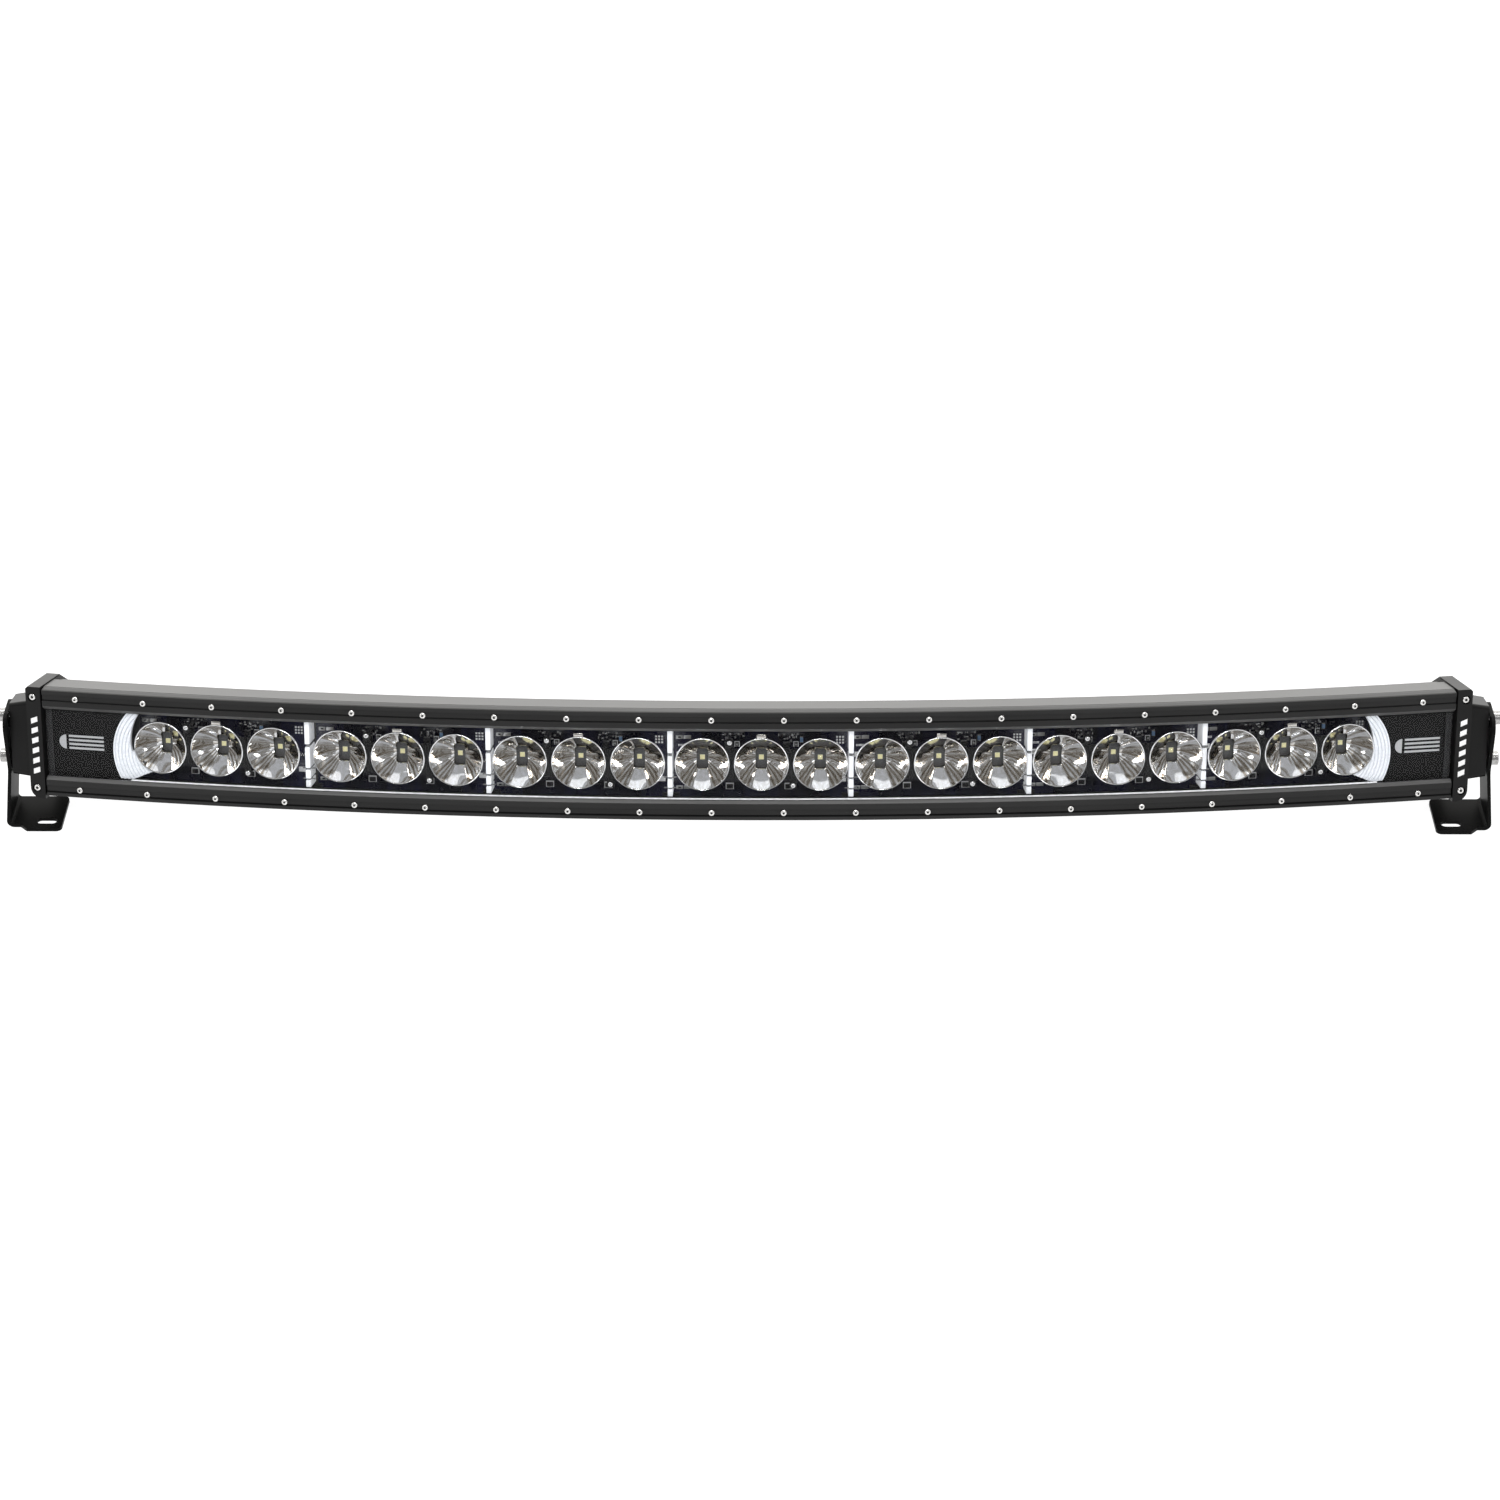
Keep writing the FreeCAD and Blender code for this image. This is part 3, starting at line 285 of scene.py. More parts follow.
def anodised(name, low, high, rough, specular=0.5, light_and_shade_bands=()):
    """Black anodised extrusion: faint die lines along the bar and a fine satin grain.

    Steps of painted light and shade are (height in mm, grey) pairs upwards, within 50 mm of the bar's mid
    height, that replace the
    plain shade: lighter on the bevels that catch light, with thin dark lines of painted shadow by the screw
    channels.
    """
    look = Look(name)
    look.set(Specular_IOR_Level=specular)
    place = look.bar_place()
    lines = look.noise(1.0, 3.0, look.stretched(place, (6.0, 2600.0, 2600.0)))
    grain = look.noise(5200.0, 2.0)
    cloud = look.noise(14.0, 2.0)
    mixed = look.math("ADD", look.math("MULTIPLY", lines, 0.5), look.math("MULTIPLY", cloud, 0.5))
    color = look.blend(mixed, low, high)
    # painted light and shade: the grey is set by height on the bar, lighter on the bevels and nearly black in
    # the shadow lines
    if light_and_shade_bands:
        height = look.node("SeparateXYZ", Vector=place).outputs["Z"]
        share = look.math("ADD", look.math("MULTIPLY", height, 10.0), 0.5)
        ramp = look.nodes.new("ShaderNodeValToRGB")
        look.feed(ramp.inputs[0], share)
        ramp.color_ramp.interpolation = "CONSTANT"
        while len(ramp.color_ramp.elements) < len(light_and_shade_bands):
            ramp.color_ramp.elements.new(1.0)
        for element, (start, value) in zip(ramp.color_ramp.elements, light_and_shade_bands):
            element.position = (start + 50.0) / 100.0
            element.color = (value, value, value, 1)
        tint = look.node("MixRGB", Fac=1.0)
        tint.blend_type = "MULTIPLY"
        look.feed(tint.inputs["Color1"], ramp.outputs["Color"])
        look.feed(tint.inputs["Color2"], look.blend(mixed, grey(0.8), grey(1.2)))
        color = tint.outputs["Color"]
    normal = look.bump(grain, 0.25, GRAIN, look.bump(lines, 0.3, GRAIN))
    return look.finish(color, look.range(cloud, rough - 0.04, rough + 0.05), normal)


def coated(name, low, high, rough, specular):
    """Satin black powder coat: orange peel over slow changes of gloss."""
    look = Look(name)
    look.set(Specular_IOR_Level=specular)
    peel_noise = look.noise(900.0, 3.0)
    cloud = look.noise(22.0, 3.0)
    normal = look.bump(peel_noise, 0.35, PEEL)
    return look.finish(look.blend(cloud, low, high), look.range(cloud, rough - 0.05, rough + 0.06), normal)


def steel(name, low, high):
    """Plain steel fastener with faint turning marks."""
    look = Look(name)
    look.set(Metallic=1.0)
    cloud = look.noise(900.0, 3.0)
    fine = look.noise(6000.0, 2.0)
    color = look.blend(cloud, grey(low, (1, 0.99, 0.97)), grey(high, (1, 0.99, 0.98)))
    return look.finish(color, look.range(cloud, 0.16, 0.3), look.bump(fine, 0.2, FINE))


def chrome():
    """Vacuum-metallised plastic with painted reflections: bright where the tint on the mesh is high, painted
    dark where it is low.
    """
    look = Look("reflector_chrome")
    look.set(Metallic=1.0)
    wave = look.noise(420.0, 2.0)
    fine = look.noise(1500.0, 2.0)
    # painted reflections: the tint on the mesh picks the chrome's colour, from dark warm grey to bright white
    tint = look.node("Attribute")
    tint.attribute_name = "tint"
    ramp = look.nodes.new("ShaderNodeValToRGB")
    look.feed(ramp.inputs[0], tint.outputs["Fac"])
    elements = ramp.color_ramp.elements
    elements[0].color = (0.09, 0.085, 0.08, 1)
    elements[1].color = (0.95, 0.955, 0.97, 1)
    for position, shade in ((0.3, (0.36, 0.31, 0.25, 1)), (0.6, (0.66, 0.65, 0.63, 1))):
        elements.new(position).color = shade
    mixed = look.node("MixRGB", Fac=1.0)
    mixed.blend_type = "MULTIPLY"
    look.feed(mixed.inputs["Color1"], ramp.outputs["Color"])
    look.feed(mixed.inputs["Color2"], look.blend(wave, grey(0.9, (1.0, 0.99, 0.97)), grey(1.0)))
    normal = look.bump(fine, 0.06, FINE, look.bump(wave, 0.08, WAVES))
    return look.finish(mixed.outputs["Color"], look.range(wave, 0.05, 0.09), normal)


def rubber():
    """Dull black silicone."""
    look = Look("black_silicone")
    grain = look.noise(2500.0, 3.0)
    return look.finish(look.blend(grain, grey(0.006), grey(0.014)), look.range(grain, 0.55, 0.7),
                       look.bump(grain, 0.3, PORES))


def nylon():
    """Black nylon with a moulded grain."""
    look = Look("black_nylon")
    grain = look.noise(1800.0, 4.0)
    return look.finish(look.blend(grain, grey(0.010), grey(0.018)), look.range(grain, 0.42, 0.55),
                       look.bump(grain, 0.25, PEEL))


def solder_mask():
    """Very dark blue glossy board with faint buried tracks."""
    look = Look("board_solder_mask")
    look.set(Coat_Weight=0.5, Coat_Roughness=0.10, Specular_IOR_Level=0.35)
    place = look.bar_place()
    tracks = look.node("TexBrick", Vector=place, Scale=1.0)
    tracks.inputs["Mortar Size"].default_value = 0.00018
    tracks.inputs["Brick Width"].default_value = 0.0052
    tracks.inputs["Row Height"].default_value = 0.0017
    tracks.inputs["Mortar"].default_value = (0.008, 0.008, 0.018, 1)
    tracks.inputs["Color1"].default_value = (0.013, 0.013, 0.034, 1)
    tracks.inputs["Color2"].default_value = (0.018, 0.018, 0.050, 1)
    cloud = look.noise(180.0, 2.0)
    return look.finish(tracks.outputs["Color"], look.range(cloud, 0.22, 0.36),
                       look.bump(tracks.outputs["Fac"], 0.3, PORES))


def simple(name, low, high, rough, scale=1200.0, metallic=0.0, bump=0.2, emission=0.0, specular=0.5):
    """Plain moulded or metal surface with a fine change of shade."""
    look = Look(name)
    look.set(Metallic=metallic, Specular_IOR_Level=specular)
    cloud = look.noise(scale, 3.0)
    color = look.blend(cloud, low, high)
    # emission makes the surface light itself: the floor's even brightness, and a painted glow on white parts
    # that are no lamps
    if emission:
        look.feed(look.shader.inputs["Emission Color"], color)
        look.shader.inputs["Emission Strength"].default_value = emission
    return look.finish(color, look.range(cloud, max(0.02, rough - 0.05), rough + 0.05),
                       look.bump(cloud, bump, GRAIN))


def clear_sheet(name, strength, ior):
    """Clear plastic that bends nothing: faces turned to the light reflect more towards grazing angles."""
    look = Look(name)
    look.nodes.remove(look.shader)
    waves = look.noise(35.0, 1.0)
    normal = look.bump(waves, 0.04, 0.0004)
    gloss = look.nodes.new("ShaderNodeBsdfGlossy")
    gloss.inputs["Roughness"].default_value = 0.02
    look.feed(gloss.inputs["Normal"], normal)
    through = look.nodes.new("ShaderNodeBsdfTransparent")
    shade = look.noise(60.0, 1.0)
    look.feed(through.inputs["Color"], look.blend(shade, (0.965, 0.972, 0.98), (0.985, 0.99, 1.0)))
    fresnel = look.nodes.new("ShaderNodeFresnel")
    fresnel.inputs["IOR"].default_value = ior
    entering = look.math("SUBTRACT", 1.0, look.node("NewGeometry").outputs["Backfacing"])
    mix = look.nodes.new("ShaderNodeMixShader")
    gloss_share = look.math("MULTIPLY", fresnel.outputs[0], strength)
    look.feed(mix.inputs[0], look.math("MULTIPLY", gloss_share, entering))
    look.feed(mix.inputs[1], through.outputs[0])
    look.feed(mix.inputs[2], gloss.outputs[0])
    look.feed(look.output.inputs["Surface"], mix.outputs[0])
    return look.material


# greys of the rails' lands, upwards, as painted light and shade: lighter on the bevels and edges that catch
# light, with a thin dark line of painted shadow behind each screw channel
RAIL_LIGHT_AND_SHADE_BANDS = ((-50.0, 0.075), (-38.75, 0.024), (-36.4, 0.002), (-35.5, 0.020), (-31.05, 0.022),
              (-27.3, 0.085), (0.0, 0.075), (27.3, 0.020), (31.05, 0.002), (31.95, 0.020), (35.75, 0.022),
              (38.75, 0.080))
BLACK_RAIL = anodised("rail_anodising", grey(0.010), grey(0.016), 0.30, 0.12, RAIL_LIGHT_AND_SHADE_BANDS)
BLACK_HOUSING = anodised("housing_anodising", grey(0.022, (1.0, 0.99, 0.96)), grey(0.036, (1.0, 0.99, 0.96)),
                         0.36, 1.0)
CASTING = coated("casting_powder_coat", grey(0.003), grey(0.006), 0.30, 0.20)
BRACKET = coated("bracket_powder_coat", grey(0.0015), grey(0.0030), 0.36, 0.06)
STEEL = steel("stainless_steel", 0.62, 0.82)
BOLT_STEEL = steel("bolt_steel", 0.30, 0.44)
CHROME = chrome()
SILICONE = rubber()
NYLON = nylon()
MASK_BOARD = solder_mask()
# white mouldings and white ink glow by emission: a painted glow, as they are no lamps
WHITE_PAINTED_GLOW = simple("white_guide_painted_glow", grey(0.84, (0.97, 0.98, 1.0)), grey(0.94, (0.98, 0.99, 1.0)), 0.28, 500.0,
               emission=0.35)
RIBBED_PAINTED_GLOW = simple("ribbed_guide_painted_glow", grey(0.78, (0.94, 0.96, 1.0)), grey(0.90, (0.97, 0.98, 1.0)), 0.22,
                700.0, emission=0.10)
PANEL = simple("blank_panel", grey(0.004, (1.0, 0.98, 0.97)), grey(0.007, (1.0, 0.98, 0.97)), 0.45, 2500.0,
               specular=0.1)
WEB_BLACK = simple("web_black", grey(0.004), grey(0.010), 0.3, 3000.0, specular=0.2)
LENS = clear_sheet("lens_polycarbonate", 0.22, 1.5)
# painted highlight: plain bright white on the strip along the lens's lower edge
LENS_EDGE_HIGHLIGHT = simple("painted_lens_edge_highlight", grey(0.62, (0.97, 0.98, 1.0)), grey(0.85, (0.98, 0.99, 1.0)), 0.15, 300.0)
CERAMIC = simple("emitter_ceramic", grey(0.55, (1.0, 0.97, 0.85)), grey(0.7, (1.0, 0.97, 0.85)), 0.3)
PHOSPHOR = simple("emitter_phosphor", (0.84, 0.76, 0.36), (0.95, 0.89, 0.52), 0.4, 2500.0)
DOME = clear_sheet("emitter_dome", 0.8, 1.45)
CHIP = simple("chip_moulding", grey(0.012), grey(0.025), 0.35, 3000.0)
SILVER = simple("solder_silver", grey(0.6), grey(0.85, (1, 1, 0.98)), 0.22, 2500.0, 0.45)
INK_PAINTED_GLOW = simple("white_ink_painted_glow", grey(0.80), grey(0.92), 0.5, 2500.0, emission=0.12)
BLUE = simple("capacitor_blue", (0.25, 0.45, 0.75), (0.42, 0.62, 0.88), 0.25, 2500.0)
DIVIDER_CORE = simple("divider_core", grey(0.16), grey(0.24), 0.4, 1500.0)
BEZEL_MARK = simple("bezel_ink", grey(0.72), grey(0.85), 0.5, 2500.0)
MARK = simple("printed_mark", grey(0.38), grey(0.50), 0.5, 2500.0)
SOCKET = simple("socket_shadow", grey(0.010), grey(0.022), 0.5, 3000.0, specular=0.2)
FOOT_GREY = simple("emitter_pad", grey(0.05), grey(0.075), 0.42, 1500.0)


def dress(material, *names):
    """Give CAD nodes a material."""
    for name in names:
        mesh = NODES[name].data
        mesh.materials.clear()
        mesh.materials.append(material)


dress(BLACK_HOUSING, "housing")
dress(BLACK_RAIL, "upper_rail", "lower_rail")
dress(STEEL, "upper_rail_screws", "lower_rail_screws", "end_bezel_screws", "end_cap_screws", "module_pins")
dress(BOLT_STEEL, "pivot_bolts", "adjusting_bolts", "bolt_washers", "spacer_washers")
dress(LENS, "lens")
dress(SILICONE, "lens_gasket", "end_gasket_left", "end_gasket_right", "gland_seal")
dress(NYLON, "gland_body", "gland_nut", "breather_vent", "board_links")
dress(CASTING, "end_bezel_left", "end_bezel_right", "end_cap_left", "end_cap_right")
dress(BRACKET, "bracket_left", "bracket_right")
dress(PANEL, "end_mask_left", "end_mask_right")
dress(MASK_BOARD, *[f"led_board_{k}" for k in range(1, len(MODULE_PLACES) + 1)])


# ---------------------------------------------------------------- reflector modules
BOWL_GAIN = (RIM ** 2 - BOWL_BASE ** 2) / (BOWL_DEPTH - RIM_DEPTH)
HALF_FACET = math.pi / FACETS
CROWN_DEPTH = 12.0             # over this depth behind the rim the flat facets turn into the round rim
# tint levels of the rim and the tab; the outside of the bowl is painted dark as shade
RIM_TINT = 0.80
TAB_TINT = 0.5
BACK_PAINTED_SHADE = 0.12
CUP_SIDES, CUP_ROWS, BACK_ROWS = 160, 26, 11
BACK_FOOT = 20.0               # depth where the outside of the bowl ends


def bowl_radius(depth):
    """Radius of the round bowl at a depth."""
    return math.sqrt(BOWL_BASE ** 2 + BOWL_GAIN * (BOWL_DEPTH - depth))


def facet_share(angle):
    """How far in a flat facet lies from the circle through its corners."""
    offset = (angle + math.pi / 2 + HALF_FACET) % (2 * HALF_FACET) - HALF_FACET
    return math.cos(HALF_FACET) / math.cos(offset)


def slot_radius(angle):
    """Distance from the cup's axis to the rounded slot round the emitter."""
    c, s = abs(math.cos(angle)), abs(math.sin(angle))
    reach = min(SLOT_HALF_WIDTH / max(c, 1e-9), SLOT_HALF_HEIGHT / max(s, 1e-9))
    cx, cz = SLOT_HALF_WIDTH - SLOT_CORNER, SLOT_HALF_HEIGHT - SLOT_CORNER
    if reach * c > cx and reach * s > cz:
        along = cx * c + cz * s
        reach = along + math.sqrt(max(0.0, SLOT_CORNER ** 2 - (cx ** 2 + cz ** 2 - along ** 2)))
    return reach


def below(angle):
    """Angle from straight below the emitter, 0 to 180 degrees, the same on both sides."""
    return abs((math.degrees(angle) + 270.0) % 360.0 - 180.0)


def flute(angle):
    """Radial ripple of the side facets, in mm; the facets above and below the emitter are plain."""
    share = min(1.0, max(0.0, (abs(math.cos(angle)) - 0.30) / 0.35))
    return share * (0.040 * math.sin(17 * angle + 0.9) + 0.016 * math.sin(27 * angle + 0.4))


# painted reflections: how light the metallised wall is painted, up to an angle from straight below: tint, and
# the share of the painted streaks
WALL_PAINTED_REFLECTIONS = ((21.0, 1.00, 0.00), (62.0, 0.30, 0.70), (86.0, 0.70, 0.20), (101.0, 0.25, 0.30),
              (122.0, 0.40, 0.20), (134.0, 0.70, 0.20), (146.0, 0.40, 0.10), (154.0, 0.90, 0.10),
              (180.0, 0.80, 0.10))


def painted_wall_reflection(angle, t):
    """Painted reflection tint of the bowl's wall at an angle, t of the way from the slot to the rim."""
    turn = below(angle)
    painted_streak = 0.5 + 0.5 * math.sin(math.radians(turn) * 30 + 2.0 * t + 0.9 * math.sin(5 * angle + 3 * t))
    base, share = next((base, share) for limit, base, share in WALL_PAINTED_REFLECTIONS if turn <= limit)
    return base + share * painted_streak ** 1.4


def cup_rings():
    """Rings of (x, depth, z) points from the emitter slot up the facets, over the rim and down the outside.

    A tint for each ring's points comes with them: painted reflections on the inside, painted shade on the
    outside.
    """
    angles = [2 * math.pi * k / CUP_SIDES for k in range(CUP_SIDES)]

    def circle(radius, depth):
        return [(radius * math.cos(a), depth, radius * math.sin(a)) for a in angles]

    rings, painted_tints = [], []
    slot = [(slot_radius(a), facet_share(a)) for a in angles]
    starts = [BOWL_DEPTH - ((r / share) ** 2 - BOWL_BASE ** 2) / BOWL_GAIN for r, share in slot]
    for row in range(CUP_ROWS + 1):
        t = row / CUP_ROWS
        ring = []
        for angle, (_, share), start in zip(angles, slot, starts):
            depth = start + (RIM_DEPTH - start) * t
            fade = min(1.0, (depth - RIM_DEPTH) / CROWN_DEPTH)
            radius = bowl_radius(depth) * (1 + (share - 1) * fade) + flute(angle) * fade
            ring.append((radius * math.cos(angle), depth, radius * math.sin(angle)))
        rings.append(ring)
        painted_tints.append([painted_wall_reflection(angle, t) for angle in angles])
    outer = RIM + WALL
    for radius, depth in ((RIM + 0.08, RIM_DEPTH - 0.42), (RIM + 0.42, RIM_DEPTH - 0.58),
                          (outer - 0.12, RIM_DEPTH - 0.40), (outer, RIM_DEPTH), (outer, RIM_DEPTH + 0.55)):
        rings.append(circle(radius, depth))
        painted_tints.append([RIM_TINT] * CUP_SIDES)
    for step in range(1, BACK_ROWS + 1):
        depth = RIM_DEPTH + 0.6 + (BACK_FOOT - RIM_DEPTH - 0.6) * step / BACK_ROWS
        rings.append(circle(bowl_radius(depth) + WALL, depth))
    rings.append(circle(FOOT_RADIUS, BACK_FOOT + 0.2))
    rings.append(circle(FOOT_RADIUS, BOARD - 0.02))
    rings.append([(r * math.cos(a), BOARD - 0.02, r * math.sin(a)) for a, (r, _) in zip(angles, slot)])
    # the outside of the bowl and its foot are painted dark, as shade
    painted_tints += [[BACK_PAINTED_SHADE] * CUP_SIDES] * (len(rings) - len(painted_tints))
    return rings, painted_tints


def ring_solid(rings):
    """Closed solid from rings; the last ring joins the first."""
    sides = len(rings[0])
    verts = [p for ring in rings for p in ring]
    faces = []
    count = len(rings)
    for i in range(count):
        j = (i + 1) % count
        for k in range(sides):
            n = (k + 1) % sides
            faces.append([i * sides + k, i * sides + n, j * sides + n, j * sides + k])
    return verts, faces


def web_plate(side):
    """Plate that fills the gap between two rims."""
    steps = 12
    left, right = [], []
    for k in range(steps + 1):
        z = WEB_HALF_HEIGHT * (2 * k / steps - 1)
        half = CUP_PITCH / 2 - math.sqrt((RIM + WALL - 0.4) ** 2 - z ** 2)
        left.append((side * CUP_PITCH / 2 - half, z))
        right.append((side * CUP_PITCH / 2 + half, z))
    return prism(right + list(reversed(left)), RIM_DEPTH + 0.9, RIM_DEPTH + 1.6)


def reflector_modules():
    """Three cups and a tab per module."""
    rings, painted_tints = cup_rings()
    cup = ring_solid(rings)
    cup_painted_tints = [tint for ring in painted_tints for tint in ring]
    for number, arc in enumerate(MODULE_PLACES, start=1):
        shape = Shape()
        for x in CUP_OFFSETS:
            shape.add(*cup, Matrix.Translation((x, 0, 0)))
        tab = rounded_box((-3.3, RIM_DEPTH - 0.2, RIM + 0.5), (3.3, RIM_DEPTH + 1.2, RIM + 3.3), 0.35, 3)
        shape.add_mesh(tab)
        shape.verts = [at(arc) @ v for v in shape.verts]
        piece = shape.piece(f"faceted_cups_{number}", CHROME, slot="reflector", sharp=50.0,
                            replaces=(f"reflector_module_{number}",))
        # painted reflections: the tint on every point sets how light or dark the chrome is painted
        tint = piece.data.attributes.new("tint", "FLOAT", "POINT")
        values = cup_painted_tints * len(CUP_OFFSETS)
        values += [TAB_TINT] * (len(shape.verts) - len(values))
        tint.data.foreach_set("value", values)


def webs():
    """Black web with upright bars between neighbouring cups, and the ear under each pin."""
    bar_pitch, bar_half = 0.92, 0.42
    shape = Shape()
    for arc in MODULE_PLACES:
        for side in (-1, 1):
            shape.add(*web_plate(side), at(arc))
            x = side * CUP_PITCH / 2
            for k in (-1, 0, 1):
                low = (x + k * bar_pitch - bar_half, RIM_DEPTH - 0.2, -WEB_HALF_HEIGHT)
                high = (x + k * bar_pitch + bar_half, RIM_DEPTH + 0.95, WEB_HALF_HEIGHT)
                shape.add_mesh(rounded_box(low, high, 0.18), at(arc))
            ear_x = side * (CUP_PITCH / 2 + 1.5)
            low, high = sorted((-side * (WEB_HALF_HEIGHT - 1.5), -side * 17.9))
            shape.add_mesh(rounded_box((ear_x - 2.6, 7.3, low), (ear_x + 2.6, 8.7, high), 0.3), at(arc))
    shape.piece("module_webs", WEB_BLACK, slot="mask_black")


# ---------------------------------------------------------------- emitters
def emitters():
    """Ceramic base, phosphor square and clear dome in every cup, on a grey pad."""
    dome_radius, dome_steps = 1.32, 8
    dome_foot = BOARD - 0.60
    bases, squares, domes = Shape(), Shape(), Shape()
    dome_profile = [(0.0, BOARD - 2.05)]
    for step in range(1, dome_steps + 1):
        angle = math.radians(90) * (1 - step / dome_steps)
        dome_profile.append((dome_radius * math.cos(angle), BOARD - 0.72 - dome_radius * math.sin(angle)))
    dome_profile.append((dome_radius, dome_foot))
    dome_profile.append((0.0, dome_foot))
    for arc in MODULE_PLACES:
        for x in CUP_OFFSETS:
            base = rounded_box((x - 1.72, BOARD - 0.55, -1.72), (x + 1.72, BOARD - 0.02, 1.72), 0.12)
            square = rounded_box((x - 1.6, BOARD - 0.68, -1.65), (x + 1.6, BOARD - 0.5, 1.65), 0.1)
            bases.add_mesh(base, at(arc))
            squares.add_mesh(square, at(arc))
            domes.add(*turned(dome_profile, x, 0.0, 28), at(arc))
    bases.piece("emitter_bases", CERAMIC, slot="emitter", replaces=("led_emitters",))
    squares.piece("emitter_phosphor", PHOSPHOR, slot="emitter")
    domes.piece("emitter_domes", DOME, slot="emitter")


def emitter_pads():
    """Grey thermal pad that shows in each cup's slot."""
    shape = Shape()
    for arc in MODULE_PLACES:
        for x in CUP_OFFSETS:
            pad = rounded_box((x - 4.6, BOARD - 0.16, -8.2), (x + 4.6, BOARD - 0.005, 8.2), 0.04)
            shape.add_mesh(pad, at(arc))
    shape.piece("emitter_pads", FOOT_GREY, slot="board_black")


# ---------------------------------------------------------------- driver parts on the boards
def driver_parts():
    """Chips, pads, solder blobs and printed marks, in millimetres from the middle of each module."""
    chips, silver, ink, blue = Shape(), Shape(), Shape(), Shape()

    def stand(shape, arc, x, z, width, height, thickness, bevel=0.12, lift=0.0):
        """Box on the board, or lifted off it."""
        low = (x - width / 2, BOARD - lift - thickness, z - height / 2)
        high = (x + width / 2, BOARD - lift - 0.005, z + height / 2)
        shape.add_mesh(rounded_box(low, high, bevel), at(arc))

    blob = [(radius, BOARD - height) for radius, height in
            ((0.0, 1.0), (0.35, 0.95), (0.65, 0.7), (0.8, 0.35), (0.85, 0.01), (0.0, 0.01))]
    dice = random.Random(7)
    for arc in MODULE_PLACES:
        for side in (-1, 1):
            middle = side * CUP_PITCH / 2
            stand(chips, arc, middle - 3.0, 8.6, 4.6, 3.4, 1.2)
            for k in range(5):
                for edge in (-1, 1):
                    stand(silver, arc, middle - 3.0 + (k - 2) * 0.9, 8.6 + edge * 2.05, 0.45, 0.9, 0.35, 0.05)
            for x, z in ((-2.4, 13.4), (2.2, 14.2), (-4.8, 16.4), (4.6, 16.6), (0.0, 11.6)):
                silver.add(*turned(blob, middle + x, z, 16), at(arc))
            stand(ink, arc, middle - 1.5, -21.2, 5.6, 4.6, 0.5, 0.1)
            stand(chips, arc, middle - 1.5, -21.4, 4.6, 3.4, 0.9, 0.1)
            stand(ink, arc, middle + 3.6, 9.4, 3.6, 4.0, 0.06, 0.01)
            stand(chips, arc, middle + 3.6, 9.4, 2.6, 3.0, 1.5)
            stand(silver, arc, middle + 3.6, 9.4, 1.5, 1.5, 0.3, 0.1, 1.5)
            for k in range(9):
                x = middle + dice.uniform(-8.5, 8.5)
                z = dice.uniform(11.6, 17.2)
                tall = dice.random() < 0.5
                w, h = (0.8, 1.5) if tall else (1.5, 0.8)
                stand(chips if dice.random() < 0.35 else ink, arc, x, z, w * 0.6, h * 0.6, 0.6, 0.05)
                for edge in (-1, 1):
                    end_x = x + (0 if tall else edge * w * 0.45)
                    end_z = z + (edge * h * 0.45 if tall else 0)
                    end_w, end_h = (w, h * 0.35) if tall else (w * 0.35, h)
                    stand(silver, arc, end_x, end_z, end_w, end_h, 0.62, 0.05)
        stand(blue, arc, CUP_PITCH / 2 + 7.4, 13.0, 2.2, 3.4, 2.2, 0.25)
        for edge in (-1, 1):
            stand(silver, arc, CUP_PITCH / 2 + 7.4, 13.0 + edge * 1.8, 2.2, 0.5, 2.0, 0.1)
        for row in range(3):
            for column in range(3):
                stand(ink, arc, 52.6 + column * 2.1, 10.4 + row * 2.1, 1.35, 1.35, 0.1, 0.02)
        for z in (14.4, -22.2):
            stand(silver, arc, -57.0, z, 4.8, 2.6, 0.6, 0.2)
            stand(silver, arc, -51.5, z, 5.2, 2.6, 0.35, 0.12)
            stand(chips, arc, -57.0, z, 2.0, 1.2, 0.9, 0.2)
        stand(ink, arc, -56.5, 2.0, 5.0, 3.6, 0.9, 0.2)
        stand(silver, arc, -56.5, 2.0, 2.6, 2.0, 1.1, 0.4)
        stand(ink, arc, 56.5, -16.0, 5.0, 3.6, 0.9, 0.2)
        for k in range(6):
            stand(ink, arc, -57.5 + k * 0.9, 8.5, 0.5, 1.6, 0.06, 0.01)
            stand(ink, arc, 54.0 + k * 0.9, -6.0 + (k % 2) * 1.2, 0.5, 0.9, 0.06, 0.01)
    chips.piece("driver_chips", CHIP, slot="components", replaces=("driver_components",))
    silver.piece("driver_metal", SILVER, slot="components")
    ink.piece("driver_white_parts", INK_PAINTED_GLOW, slot="components")
    blue.piece("driver_blue_parts", BLUE, slot="components")


# ---------------------------------------------------------------- light guides
def divider_bars():
    """White bars between modules, broken by two ribs and a clip, on a greyer core."""
    shape, core = Shape(), Shape()
    pieces = ((7.0, 24.4), (-10.4, 4.6), (-18.1, -12.0), (-24.4, -19.6))
    for arc in JOINT_PLACES:
        for low, high in pieces:
            shape.add_mesh(rounded_box((-1.75, 8.4, low), (1.75, 22.9, high), 0.35, 3), at(arc))
        core.add_mesh(rounded_box((-1.2, 10.0, -24.2), (1.2, 22.8, 24.2), 0.3), at(arc))
        for z in (-11.2, -18.9):
            core.add_mesh(rounded_box((-4.4, 11.0, z - 0.4), (4.4, 12.2, z + 0.4), 0.2), at(arc))
    shape.piece("divider_guides", WHITE_PAINTED_GLOW, slot="white_moulding", replaces=("divider_bars",))
    core.piece("divider_core", DIVIDER_CORE, slot="white_moulding")


